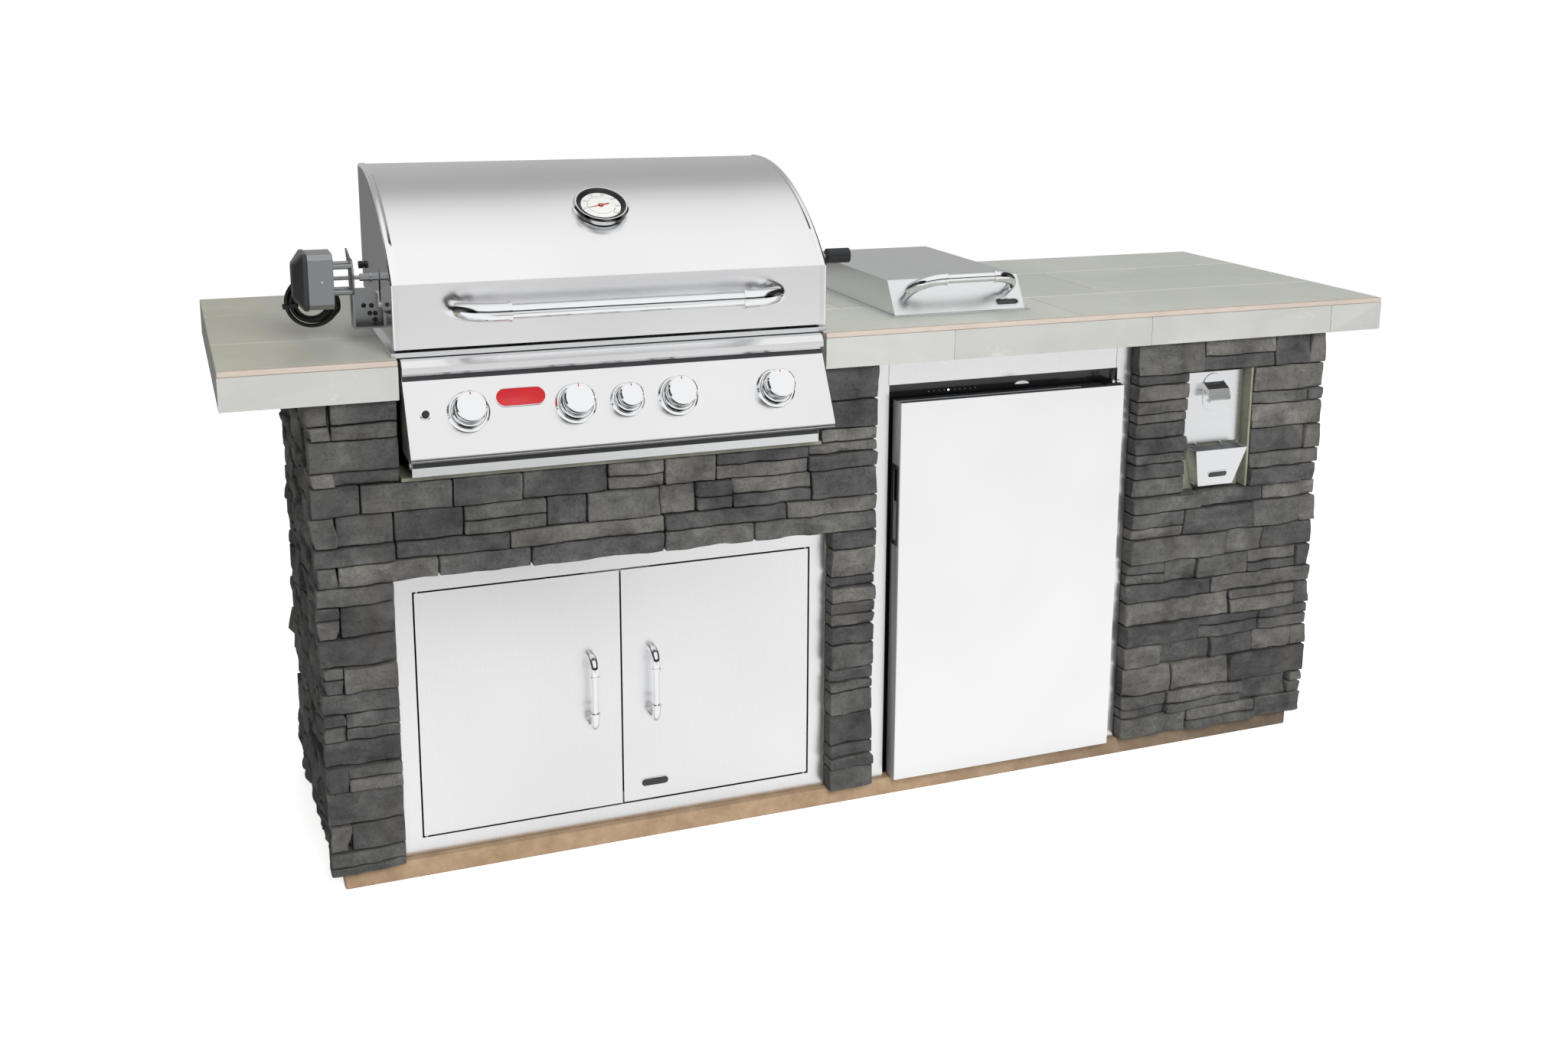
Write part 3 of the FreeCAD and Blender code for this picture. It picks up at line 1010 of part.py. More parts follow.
def rounded_path(points):
    """Straight runs joined by arcs as large as the runs allow."""
    edges = []
    last = points[0]
    radii = []
    for before, corner, after in zip(points, points[1:], points[2:]):
        incoming, outgoing = corner - before, after - corner
        half = incoming.getAngle(outgoing) / 2
        reach = 0.45 * min(incoming.Length, outgoing.Length)
        begin = corner - incoming.normalize() * reach
        finish = corner + outgoing.normalize() * reach
        radii.append(round(reach / math.tan(half), 1))
        edges.append(Part.LineSegment(last, begin).toShape())
        edges.append(arc_from(begin, corner, finish))
        last = finish
    edges.append(Part.LineSegment(last, points[-1]).toShape())
    return Part.Wire(edges), radii


def cord():
    radius = at("cord_radius")
    stations = coil_stations()
    lead = 2 * radius
    entry = stations[0][0] - stations[0][1] * lead
    leaving = stations[-1][0] + stations[-1][1] * lead
    edges = [Part.LineSegment(entry, stations[0][0]).toShape()]
    for (place_a, way_a), (place_b, way_b) in zip(stations, stations[1:]):
        edges += biarc(place_a, way_a, place_b, way_b)
    edges.append(Part.LineSegment(stations[-1][0], leaving).toShape())
    path = Part.Wire(edges)
    coil = swept(path, radius, stations[0][1])
    node("cord_coil", made("cord_coil", coil))
    print("coil volume over section times length", round(coil.Volume / (math.pi * radius ** 2 * path.Length), 4))
    print("coil least gap to itself", round(least_gap(path, radius), 2))

    rear = at("spit_y + motor_depth / 2")
    exit_point = V(at("coil_x + 5"), rear, at("motor_top - 20"))
    free = [exit_point, exit_point + V(0, 19, 0), exit_point + V(-9, 30, -18), entry - stations[0][1] * 12, entry]
    wire, radii = rounded_path(free)
    lead_tube = swept(wire, radius, free[1] - free[0])
    tail = [leaving, leaving + stations[-1][1] * 16, leaving + V(8, 8, 36), leaving + V(-4, 13, 55)]
    tail_wire, tail_radii = rounded_path(tail)
    tail_tube = swept(tail_wire, radius, tail[1] - tail[0])
    print("cord radii", radii, tail_radii)
    node("motor_cord", made("motor_cord", Part.makeCompound([lead_tube, tail_tube])))
    way = (tail[-1] - tail[-2]).normalize()
    turn = FreeCAD.Rotation(V(0, 0, 1), way)
    body = Part.makeCone(5, 11, 14).fuse(Part.makeCylinder(11, 18, V(0, 0, 14)))
    pins = [Part.makeCylinder(2, 16, V(offset, 0, 32)) for offset in (-6, 6)]
    node("cord_plug", made("cord_plug", body.multiFuse(pins).removeSplitter(), tuple(tail[-1]), turn))


def least_gap(path, radius):
    """The least distance between stretches of the tube that lie more than a third of a turn apart."""
    samples = []
    travelled = 0
    for edge in path.OrderedEdges:
        points = edge.discretize(9)
        for before, after in zip(points, points[1:]):
            travelled += (after - before).Length
            samples.append((travelled, after))
    far = 2 * math.pi * at("coil_radius") / 3
    nearest = min((a - b).Length for i, (s, a) in enumerate(samples) for t, b in samples[i + 1:] if t - s > far)
    return nearest - 2 * radius


# Side burner
BURNER_LEFT = "(lid_x - lid_width / 2 - flange_lap)"
BURNER_FRONT = "(lid_front - flange_lap)"
FLANGE_TOP = f"({COUNTER_TOP} + flange_thickness)"
LID_BOTTOM = f"({FLANGE_TOP} + seat)"
LID_REAR = "(lid_front + lid_depth)"
BOWL_BOTTOM = f"({COUNTER_TOP} - bowl_depth)"
HINGE_Y = f"({LID_REAR} + 5)"
HINGE_Z = f"({FLANGE_TOP} + 6)"


def side_burner():
    flange = block("burner_flange", BURNER_LEFT, BURNER_FRONT, COUNTER_TOP, "lid_width + 2 * flange_lap",
                   "lid_depth + 2 * flange_lap", "flange_thickness")
    outer = block("bowl_outer", BOWL_LEFT, BOWL_FRONT, BOWL_BOTTOM, BOWL_WIDTH, BOWL_LENGTH, "bowl_depth")
    inner = block("bowl_inner", f"{BOWL_LEFT} + 2", f"{BOWL_FRONT} + 2", f"{BOWL_BOTTOM} + 2", f"{BOWL_WIDTH} - 4",
                  f"{BOWL_LENGTH} - 4", "bowl_depth - 2")
    mouth = block("bowl_mouth", f"{BOWL_LEFT} + 2", f"{BOWL_FRONT} + bowl_apron", f"{BOWL_BOTTOM} + 3", f"{BOWL_WIDTH} - 4",
                  f"{BOWL_LENGTH} - bowl_apron - 2", "bowl_depth + 20")
    shell = less("bowl_shell", joined("bowl_blank", [flange, outer]), [inner, mouth])
    boss = rod("burner_knob_boss", "Z", "11", "lid_x", f"{BOWL_FRONT} + 34", FLANGE_TOP, "2")
    stem = rod("burner_knob_stem", "Z", "stem_radius", "lid_x", f"{BOWL_FRONT} + 34", FLANGE_TOP, "14")
    pin = rod("lid_hinge_pin", "X", "2", "lid_x - 62", HINGE_Y, HINGE_Z, "124")
    knuckle = rod("tray_knuckle", "X", "4.5", "lid_x - 38", HINGE_Y, HINGE_Z, "76")
    foot = block("tray_knuckle_foot", "lid_x - 38", f"{HINGE_Y} - 4", FLANGE_TOP, "76", "7", "6")
    node("burner_tray", joined("burner_tray", [shell, boss, stem, pin, knuckle, foot]))

    node("burner_head", turned("burner_head",
                               [(0, 0), (20, 0), (20, 22), ("ring_radius", 30), ("ring_radius", 38),
                                ("ring_radius - 5", 42), (22, 42), (20, 36), (0, 36)],
                               None, None, ("lid_x", f"{BOWL_FRONT} + bowl_apron + ({BOWL_LENGTH} - bowl_apron - 2) / 2",
                                            f"{BOWL_BOTTOM} + 2")))
    middle = f"({BOWL_FRONT} + bowl_apron + ({BOWL_LENGTH} - bowl_apron - 2) / 2)"
    bars = [block(f"pan_bar_{index}", f"{BOWL_LEFT} - 4", f"{middle} + {offset}", FLANGE_TOP, f"{BOWL_WIDTH} + 8",
                  "pan_bar", "pan_bar")
            for index, offset in enumerate(("-pan_half", "-50", "50 - pan_bar", "pan_half - pan_bar"))]
    bars += [block(f"pan_cross_{index}", f"lid_x + {offset}", f"{middle} - pan_half + pan_bar", FLANGE_TOP,
                   "pan_bar", "2 * (pan_half - pan_bar)", "pan_bar")
             for index, offset in enumerate(("-50", "50 - pan_bar"))]
    node("burner_grate", joined("burner_grate", bars))

    top = f"({LID_BOTTOM} + lid_height)"
    outline = [("lid_front", LID_BOTTOM), (LID_REAR, LID_BOTTOM), (LID_REAR, top), ("lid_front + lid_lean", top)]
    body = prism("lid_blank", "X", "lid_x - lid_width / 2", "lid_width", outline)
    low = at(LID_BOTTOM)
    hollow(body, "lid_blank_pad", lambda face: abs(face.CenterOfMass.z - low) < 0.01, "lid_sheet")
    knuckles = []
    for name, offset in (("left", "-60"), ("right", "40")):
        barrel = rod(f"{name}_lid_knuckle", "X", "4.5", f"lid_x + {offset}", HINGE_Y, HINGE_Z, "20")
        web = block(f"{name}_lid_web", f"lid_x + {offset}", f"{LID_REAR} - 1", f"{HINGE_Z} - 4", "20", "6", "8")
        knuckles += [barrel, web]
    bore = rod("lid_knuckle_bore", "X", "2 + pin_fit", "lid_x - 70", HINGE_Y, HINGE_Z, "140")
    node("burner_lid", less("burner_lid", joined("lid_with_knuckles", [body] + knuckles), [bore]))

    lean, height = at("lid_lean"), at("lid_height")
    out = V(0, -height, lean).normalize()
    up = at("lid_handle_up")
    foot_point = V(at("lid_x"), at("lid_front") + lean * up / height, at(LID_BOTTOM) + up)
    bar_point = foot_point + out * at("lid_handle_reach")
    radius = at("lid_bar_radius")
    half = at("lid_bar_half")
    shapes = [Part.makeCylinder(radius, 2 * half, bar_point - V(half, 0, 0), V(1, 0, 0))]
    for side in (-1, 1):
        corner = V(side * at("lid_foot_half"), 0, 0)
        points = [bar_point + V(side * half, 0, 0), bar_point + corner, foot_point + corner]
        shapes.append(bent_bar(points, at("lid_elbow_radius"), at("lid_bend")))
        start = bar_point + V(side * (half + 2) - 2, 0, 0)
        shapes.append(Part.makeCylinder(at("lid_elbow_radius + 1.2"), 4, start, V(1, 0, 0)))
    node("lid_handle", made("lid_handle", shapes[0].multiFuse(shapes[1:]).removeSplitter()))

    bore = "stem_radius + pin_fit"
    node("burner_knob", turned("burner_knob",
                               [(bore, 0), (21, 0), (21, 5), (17, 7), (16, 22), (14, 24), (0, 24), (0, 13), (bore, 13)],
                               None, None, ("lid_x", f"{BOWL_FRONT} + 34", f"{FLANGE_TOP} + 2 + seat")))


# Access doors
FRAME_FRONT = "(-wall_depth / 2 - flange_stand)"
OPENING_LEFT = "(doors_left + flange)"
OPENING_WIDTH = "(doors_width - 2 * flange)"
OPENING_BOTTOM = "(doors_bottom + flange)"
OPENING_HEIGHT = "(doors_height - 2 * flange)"
LEAF_WIDTH = f"(({OPENING_WIDTH} - 3 * door_gap) / 2)"
LEAF_BOTTOM = f"({OPENING_BOTTOM} + door_gap)"
LEAF_HEIGHT = f"({OPENING_HEIGHT} - 2 * door_gap)"


def access_doors():
    plate = block("frame_plate", "doors_left", FRAME_FRONT, "doors_bottom", "doors_width", "flange_stand",
                  "doors_height")
    sleeve = block("frame_sleeve", f"{OPENING_LEFT} - sheet", FRAME_FRONT, f"{OPENING_BOTTOM} - sheet",
                   f"{OPENING_WIDTH} + 2 * sheet", "door_thickness + 12", f"{OPENING_HEIGHT} + 2 * sheet")
    hole = block("frame_hole", OPENING_LEFT, f"{FRAME_FRONT} - 1", OPENING_BOTTOM, OPENING_WIDTH,
                 "door_thickness + 20", OPENING_HEIGHT)
    blank = less("frame_blank", joined("frame_solid", [plate, sleeve]), [hole])
    pins = []
    for name, x in (("left", f"{OPENING_LEFT} + door_gap + pin_inset"),
                    ("right", f"{OPENING_LEFT} + {OPENING_WIDTH} - door_gap - pin_inset")):
        pins.append(rod(f"{name}_low_pin", "Z", "pin_radius", x, f"{FRAME_FRONT} + pin_inset", OPENING_BOTTOM,
                        "door_gap + 9"))
        pins.append(rod(f"{name}_high_pin", "Z", "pin_radius", x, f"{FRAME_FRONT} + pin_inset",
                        f"{OPENING_BOTTOM} + {OPENING_HEIGHT} - door_gap - 9", "door_gap + 9"))
    stops = [block("frame_low_stop", f"{OPENING_LEFT} + {OPENING_WIDTH} / 2 - 60", f"{FRAME_FRONT} + door_thickness",
                   OPENING_BOTTOM, "120", "3", "14"),
             block("frame_high_stop", f"{OPENING_LEFT} + {OPENING_WIDTH} / 2 - 60",
                   f"{FRAME_FRONT} + door_thickness", f"{OPENING_BOTTOM} + {OPENING_HEIGHT} - 14", "120", "3",
                   "14")]
    node("door_frame", joined("door_frame", [blank] + pins + stops))

    for name, left, pin_x in (
            ("left", f"({OPENING_LEFT} + door_gap)", "pin_inset"),
            ("right", f"({OPENING_LEFT} + {OPENING_WIDTH} - door_gap - {LEAF_WIDTH})", f"{LEAF_WIDTH} - pin_inset")):
        leaf = block(f"{name}_leaf", left, FRAME_FRONT, LEAF_BOTTOM, LEAF_WIDTH, "door_thickness", LEAF_HEIGHT)
        stile = "door_stile" if name == "left" else "sheet"
        cavity = block(f"{name}_leaf_cavity", f"{left} + {stile}", f"{FRAME_FRONT} + sheet",
                       f"{LEAF_BOTTOM} + sheet", f"{LEAF_WIDTH} - door_stile - sheet", "door_thickness",
                       f"{LEAF_HEIGHT} - 2 * sheet")
        bores = [rod(f"{name}_bore_{index}", "Z", "pin_radius + pin_fit", f"{left} + {pin_x}",
                     f"{FRAME_FRONT} + pin_inset", z, "11")
                 for index, z in enumerate((f"{LEAF_BOTTOM} - 1", f"{LEAF_BOTTOM} + {LEAF_HEIGHT} - 10"))]
        node(f"door_{name}", less(f"door_{name}", leaf, [cavity] + bores))

        side = -1 if name == "left" else 1
        x = f"({OPENING_LEFT} + {OPENING_WIDTH} / 2 + {side} * door_handle_inset)"
        y = f"({FRAME_FRONT} - door_handle_reach)"
        reach = "(door_handle_length / 2 - door_elbow_radius)"
        neck = f"({reach} - door_handle_bend - 12)"
        pieces = [rod(f"{name}_grip_bar", "Z", "door_handle_radius", x, y, f"door_handle_z - {neck}",
                      f"2 * {neck}")]
        for end, sign in (("low", -1), ("high", 1)):
            points = [vec(x, y, f"door_handle_z + {sign} * {neck}"), vec(x, y, f"door_handle_z + {sign} * {reach}"),
                      vec(x, FRAME_FRONT, f"door_handle_z + {sign} * {reach}")]
            pieces.append(made(f"{name}_{end}_grip_elbow", bent_bar(points, at("door_elbow_radius"),
                                                                    at("door_handle_bend"))))
            pieces.append(rod(f"{name}_{end}_grip_collar", "Z", "door_elbow_radius + 1", x, y,
                              f"door_handle_z + {sign} * ({neck} + 2) - 2", "4"))
        node(f"door_handle_{name}", joined(f"door_handle_{name}", pieces))


# Fridge
TRIM_FRONT = "(-wall_depth / 2 - trim_stand)"
CABINET_LEFT = "(fridge_left + fridge_strip + cabinet_gap)"
CABINET_WIDTH = "(fridge_width - 2 * fridge_strip - 2 * cabinet_gap)"
CABINET_FRONT = "(fridge_door_front + fridge_door_thickness + gasket)"
CABINET_TOP = "(wall_top - fridge_strip_top - 2)"
PIVOT_X = "(fridge_door_left + fridge_door_width - 10)"
PIVOT_Y = "(fridge_door_front + 14)"


def fridge():
    strips = [
        block("trim_left", "fridge_left", TRIM_FRONT, "plinth_height", "fridge_strip", "trim_stand",
              "wall_top - plinth_height"),
        block("trim_right", "fridge_left + fridge_width - fridge_strip", TRIM_FRONT, "plinth_height",
              "fridge_strip", "trim_stand", "wall_top - plinth_height"),
        block("trim_top", "fridge_left + fridge_strip", TRIM_FRONT, "wall_top - fridge_strip_top",
              "fridge_width - 2 * fridge_strip", "trim_stand", "fridge_strip_top"),
    ]
    node("fridge_trim", joined("fridge_trim", strips))

    inside_left = f"({CABINET_LEFT} + cabinet_wall)"
    inside_width = f"({CABINET_WIDTH} - 2 * cabinet_wall)"
    inside_bottom = f"({FLOOR_TOP} + cabinet_wall)"
    outer = block("cabinet_outer", CABINET_LEFT, CABINET_FRONT, FLOOR_TOP, CABINET_WIDTH, "cabinet_depth",
                  f"{CABINET_TOP} - {FLOOR_TOP}")
    inner = block("cabinet_inner", inside_left, f"{CABINET_FRONT} - 1", inside_bottom, inside_width,
                  "cabinet_depth - cabinet_wall", f"fridge_door_top - cabinet_wall - {inside_bottom}")
    toe = block("cabinet_toe", CABINET_LEFT, CABINET_FRONT, "plinth_height", CABINET_WIDTH, "8",
                f"{FLOOR_TOP} - plinth_height")
    hollowed = less("cabinet_hollow", joined("cabinet_solid", [outer, toe]), [inner])
    low_hinge = block("low_hinge_plate", f"{PIVOT_X} - 26", f"{PIVOT_Y} - 7", "plinth_height", "33",
                      f"{CABINET_FRONT} - {PIVOT_Y} + 7", "fridge_door_bottom - plinth_height - seat")
    low_pin = rod("low_hinge_pin", "Z", "hinge_pin_radius", PIVOT_X, PIVOT_Y, "plinth_height + 1", "15")
    high_hinge = block("high_hinge_plate", f"{PIVOT_X} - 26", f"{PIVOT_Y} - 7", "fridge_door_top + seat", "33",
                       f"{CABINET_FRONT} - {PIVOT_Y} + 7", "3")
    high_pin = rod("high_hinge_pin", "Z", "hinge_pin_radius", PIVOT_X, PIVOT_Y, "fridge_door_top - 12", "15")
    ledges = [block(f"shelf_ledge_{level}_{side}", x, f"{CABINET_FRONT} + 40", f"{inside_bottom} + {level} * shelf_rise",
                    "shelf_ledge", "cabinet_depth - cabinet_wall - 40", "shelf_ledge / 2")
              for level in (1, 2, 3)
              for side, x in enumerate((inside_left, f"{inside_left} + {inside_width} - shelf_ledge"))]
    node("fridge_cabinet", joined("fridge_cabinet", [hollowed, low_hinge, low_pin, high_hinge, high_pin] + ledges))
    shelves = [block(f"shelf_{level}", f"{inside_left} + seat", f"{CABINET_FRONT} + 44",
                     f"{inside_bottom} + {level} * shelf_rise + shelf_ledge / 2", f"{inside_width} - 2 * seat",
                     "cabinet_depth - cabinet_wall - 46", "shelf_glass")
               for level in (1, 2, 3)]
    node("fridge_shelves", together("fridge_shelves", shelves))

    slab = block("door_slab", "fridge_door_left", "fridge_door_front", "fridge_door_bottom", "fridge_door_width",
                 "fridge_door_thickness", "fridge_door_top - fridge_door_bottom")
    grip = block("door_grip_recess", "fridge_door_left - 1", "fridge_door_front + 10", "grip_top - grip_height",
                 "grip_depth", "fridge_door_thickness - 18", "grip_height")
    bores = [rod(f"fridge_bore_{index}", "Z", "hinge_pin_radius + pin_fit", PIVOT_X, PIVOT_Y, z, "15")
             for index, z in enumerate(("fridge_door_bottom - 1", "fridge_door_top - 14"))]
    core_sizes = ("fridge_door_left + skin", "fridge_door_front + skin", "fridge_door_bottom + skin",
                  "fridge_door_width - 2 * skin", "fridge_door_thickness",
                  "fridge_door_top - fridge_door_bottom - 2 * skin")
    node("fridge_door", less("fridge_door", slab, [block("door_pan_hollow", *core_sizes), grip] + bores))

    core = block("liner_core", *core_sizes[:4], "fridge_door_thickness - skin", core_sizes[5])
    seal_outer = block("gasket_outer", "fridge_door_left + 4", "fridge_door_front + fridge_door_thickness - 1",
                       "fridge_door_bottom + 16", "fridge_door_width - 18", "gasket + 1 - seat",
                       "fridge_door_top - fridge_door_bottom - 26")
    seal_inner = block("gasket_inner", "fridge_door_left + 14",
                       "fridge_door_front + fridge_door_thickness", "fridge_door_bottom + 26",
                       "fridge_door_width - 38", "gasket + 2", "fridge_door_top - fridge_door_bottom - 46")
    solid = joined("liner_solid", [core, seal_outer])
    node("fridge_liner", less("fridge_liner", solid, [seal_inner, grip] + bores))


# Bottle opener and cap catcher
def opener():
    plate = block("opener_plate", "opener_left", "-wall_depth / 2 - opener_stand", "opener_bottom", "opener_width",
                  "opener_stand", "opener_height")
    face = "(-wall_depth / 2 - opener_stand)"
    middle = "(opener_left + opener_middle)"
    high = "(opener_bottom + opener_height)"
    low_bend, high_bend = f"{high} - 84 + opener_base_half", f"{high} - 2 - opener_base_half"
    left, right = f"{middle} - opener_base_half", f"{middle} + opener_base_half"
    oval = prism("opener_base", "Y", f"{face} - 2", "3",
                 [(left, high_bend), (left, low_bend), (right, low_bend), (right, high_bend)],
                 {1: (middle, f"{high} - 82.5"), 3: (middle, f"{high} - 3.5")})
    head = prism("opener_head", "X", f"{middle} - opener_half", "2 * opener_half",
                 [(face, f"{high} - 20"), (f"{face} - 22", f"{high} - 32"), (f"{face} - 29", f"{high} - 52"),
                  (f"{face} - 25", f"{high} - 55"), (f"{face} - 18", f"{high} - 38"), (face, f"{high} - 34")])
    lip = block("opener_lip", f"{middle} - 10", f"{face} - 9", f"{high} - 64", "20", "9", "5")
    node("bottle_opener", joined("bottle_opener", [plate, oval, head, lip]))

    x = "(opener_left + catcher_shift)"
    back = at("-wall_depth / 2")
    foot_z = at("catcher_top - catcher_height")

    def ring(z, left, width, near_edge, inset=0.0):
        corners = [V(left + inset, near_edge + inset, z), V(left + width - inset, near_edge + inset, z),
                   V(left + width - inset, back - inset, z), V(left + inset, back - inset, z)]
        return Part.makePolygon(corners + corners[:1])

    top_left, top_width = at(x), at("catcher_width")
    foot_width = at("catcher_foot")
    foot_left = top_left + (top_width - foot_width) / 2
    top_front = back - at("catcher_depth") - 9
    foot_front = top_front + 17
    outer = Part.makeLoft([ring(foot_z, foot_left, foot_width, foot_front),
                           ring(at("catcher_top"), top_left, top_width, top_front)], True, True)
    wall = at("catcher_sheet")
    inner = Part.makeLoft([ring(foot_z + wall, foot_left + 0.5, foot_width - 1, foot_front, wall),
                           ring(at("catcher_top") + 0.1, top_left, top_width, top_front, wall)], True, True)
    node("cap_catcher", made("cap_catcher", outer.cut(inner)))


base()
veneer()
counter()
grill_body()
hood()
gauge()
control_panel()
burners()
rotisserie()
cord()
side_burner()
access_doors()
fridge()
opener()
doc.recompute()

faults = []
for item in doc.Objects:
    if any(word in state for state in item.State for word in ("Invalid", "Error")):
        faults.append(f"{item.Name}: {item.State}")
for name, item in NODES:
    shape = item.Shape
    if shape.isNull() or not shape.isValid() or not shape.Solids:
        faults.append(f"{name}: no valid solid")
if faults:
    raise SystemExit("\n".join(faults))

os.makedirs("parts", exist_ok=True)
for name, item in NODES:
    item.Shape.exportStep(f"parts/{name}.step")
print(len(NODES), "sub-parts written")
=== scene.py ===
import math

import bpy
from mathutils import Matrix, Vector


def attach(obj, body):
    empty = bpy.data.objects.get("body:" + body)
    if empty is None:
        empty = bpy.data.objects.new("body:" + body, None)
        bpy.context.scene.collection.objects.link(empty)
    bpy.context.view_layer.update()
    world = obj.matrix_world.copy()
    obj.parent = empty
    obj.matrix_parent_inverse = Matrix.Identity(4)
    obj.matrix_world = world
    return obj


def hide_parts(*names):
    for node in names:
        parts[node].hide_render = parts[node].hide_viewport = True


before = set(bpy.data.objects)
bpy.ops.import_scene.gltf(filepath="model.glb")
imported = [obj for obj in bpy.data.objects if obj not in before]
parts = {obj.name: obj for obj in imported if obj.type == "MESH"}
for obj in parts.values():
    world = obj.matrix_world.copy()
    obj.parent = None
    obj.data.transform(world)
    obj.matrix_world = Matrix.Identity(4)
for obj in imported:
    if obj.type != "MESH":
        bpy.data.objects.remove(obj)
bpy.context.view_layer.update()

# Places and directions that several pieces share, in metres.
GRILL_X = -0.4885
HOOD_MID_X = -0.4855
BRACKET_FACE, MOTOR_FACE, OPENER_FACE = -0.1320, -0.1900, -0.2660
CABINET_FACE, FRIDGE_TRIM_FACE = -0.2910, -0.2670
PANEL_OUT = Vector((0, -0.86594, 0.50015))
PANEL_SPOT = Vector((GRILL_X, -0.335767, 0.851))
DIAL_OUT = Vector((0, -0.523748, 0.851873))
DIAL_SPOT = Vector((GRILL_X, -0.174046, 1.158255))
FRONT = Vector((0, -1, 0))
UP = Vector((0, 0, 1))
RIGHT = Vector((1, 0, 0))


# ---------------------------------------------------------------------- camera
EYE = (-1.2209, -3.0439, 1.4960)
FOCAL_LENGTH, SENSOR_WIDTH, SHIFT_X, SHIFT_Y = 38.3, 36, -0.0340, -0.0888


def set_camera():
    """The photograph's view: eye height, a turn to the right, a look down and a slight roll."""
    turn, down, roll = math.radians(22.49), math.radians(12.395), math.radians(0.694)
    ahead = Vector((math.sin(turn) * math.cos(down), math.cos(turn) * math.cos(down), -math.sin(down)))
    right = Vector((math.cos(turn), -math.sin(turn), 0))
    up = right.cross(ahead)
    tilted_right = right * math.cos(roll) + up * math.sin(roll)
    tilted_up = up * math.cos(roll) - right * math.sin(roll)
    lens = bpy.data.cameras.new("camera")
    lens.lens = FOCAL_LENGTH
    lens.sensor_width = SENSOR_WIDTH
    lens.shift_x = SHIFT_X
    lens.shift_y = SHIFT_Y
    camera = bpy.data.objects.new("camera", lens)
    turned_view = Matrix((tilted_right, tilted_up, -ahead)).transposed().to_4x4()
    camera.matrix_world = Matrix.Translation(EYE) @ turned_view
    bpy.context.collection.objects.link(camera)
    bpy.context.scene.camera = camera


set_camera()


# ------------------------------------------------------------------- materials
def colour(hexcode, alpha=1.0):
    """An sRGB hex value as Blender's linear colour."""
    channels = [int(hexcode[i:i + 2], 16) / 255 for i in (0, 2, 4)]
    return tuple(c / 12.92 if c <= 0.04045 else ((c + 0.055) / 1.055) ** 2.4 for c in channels) + (alpha,)


def add(tree, kind, links=None, **settings):
    """Adds a node. Settings are its properties or sockets, and links feed its sockets."""
    item = tree.nodes.new("ShaderNode" + kind)
    for key, value in settings.items():
        if hasattr(item, key):
            setattr(item, key, value)
        else:
            item.inputs[key.replace("_", " ")].default_value = value
    for socket, source in (links or {}).items():
        tree.links.new(source, item.inputs[socket])
    return item


def ramp(tree, source, *stops):
    """A colour ramp with (place, hex) stops."""
    item = add(tree, "ValToRGB", {"Fac": source})
    while len(item.color_ramp.elements) < len(stops):
        item.color_ramp.elements.new(0.5)
    for element, (place, hexcode) in zip(item.color_ramp.elements, stops):
        element.position = place
        element.color = colour(hexcode)
    return item.outputs["Color"]


def tinted(tree, under, over, factor=None, blend="MULTIPLY"):
    """Lays one colour over another, all over or by a factor."""
    item = add(tree, "Mix", {6: under, 7: over}, data_type="RGBA", blend_type=blend)
    if factor is None:
        item.inputs[0].default_value = 1
    else:
        tree.links.new(factor, item.inputs[0])
    return item.outputs[2]


def start(name):
    """A new material, its tree, its main shader and the object's own coordinates."""
    material = bpy.data.materials.new(name)
    material.use_nodes = True
    tree = material.node_tree
    return material, tree, tree.nodes["Principled BSDF"], add(tree, "TexCoord").outputs["Object"]


def brushed_stainless(name, hexcode, grain=(1, 0, 0), roughness=0.3, streak=0.10, depth=0.05, bright_bands=None):
    """304 sheet, belt brushed: fine parallel scratches that stretch reflections across the grain."""
    material, tree, shader, place = start(name)
    # Real brush lines are 0.1 mm apart. They are drawn about 1.5 mm apart, or they would not show.
    lines = add(tree, "Mapping", {"Vector": place}, Scale=tuple(12 if side else 650 for side in grain))
    scratch = add(tree, "TexNoise", {"Vector": lines.outputs["Vector"]}, Scale=1.0, Detail=3.0, Roughness=0.6)
    cloudy = add(tree, "TexNoise", {"Vector": place}, Scale=2.2, Detail=2.0)
    rough = add(tree, "MapRange", {"Value": scratch.outputs["Fac"]}, To_Min=roughness - streak / 2,
                To_Max=roughness + streak / 2).outputs["Result"]
    if bright_bands:
        # Past this distance from the middle the sheet is polished, as on the hood's end bands.
        middle, half = bright_bands
        sideways = add(tree, "SeparateXYZ", {"Vector": place}).outputs["X"]
        centred = add(tree, "Math", {0: sideways}, operation="SUBTRACT")
        centred.inputs[1].default_value = middle
        spread = add(tree, "Math", {0: centred.outputs[0]}, operation="ABSOLUTE")
        beyond = add(tree, "MapRange", {"Value": spread.outputs[0]}, From_Min=half - 0.001, From_Max=half,
                     To_Min=1.0, To_Max=0.4)
        rough = add(tree, "Math", {0: rough, 1: beyond.outputs["Result"]}, operation="MULTIPLY").outputs[0]
    faint = ramp(tree, cloudy.outputs["Fac"], (0.3, "F6F6F6"), (0.7, "FFFFFF"))
    plain = add(tree, "Mix", {7: faint}, data_type="RGBA", blend_type="MULTIPLY")
    plain.inputs[0].default_value = 1
    plain.inputs[6].default_value = colour(hexcode)
    bump = add(tree, "Bump", {"Height": scratch.outputs["Fac"]}, Strength=depth, Distance=0.0004)
    tree.links.new(plain.outputs[2], shader.inputs["Base Color"])
    tree.links.new(rough, shader.inputs["Roughness"])
    tree.links.new(bump.outputs["Normal"], shader.inputs["Normal"])
    shader.inputs["Metallic"].default_value = 1
    return material


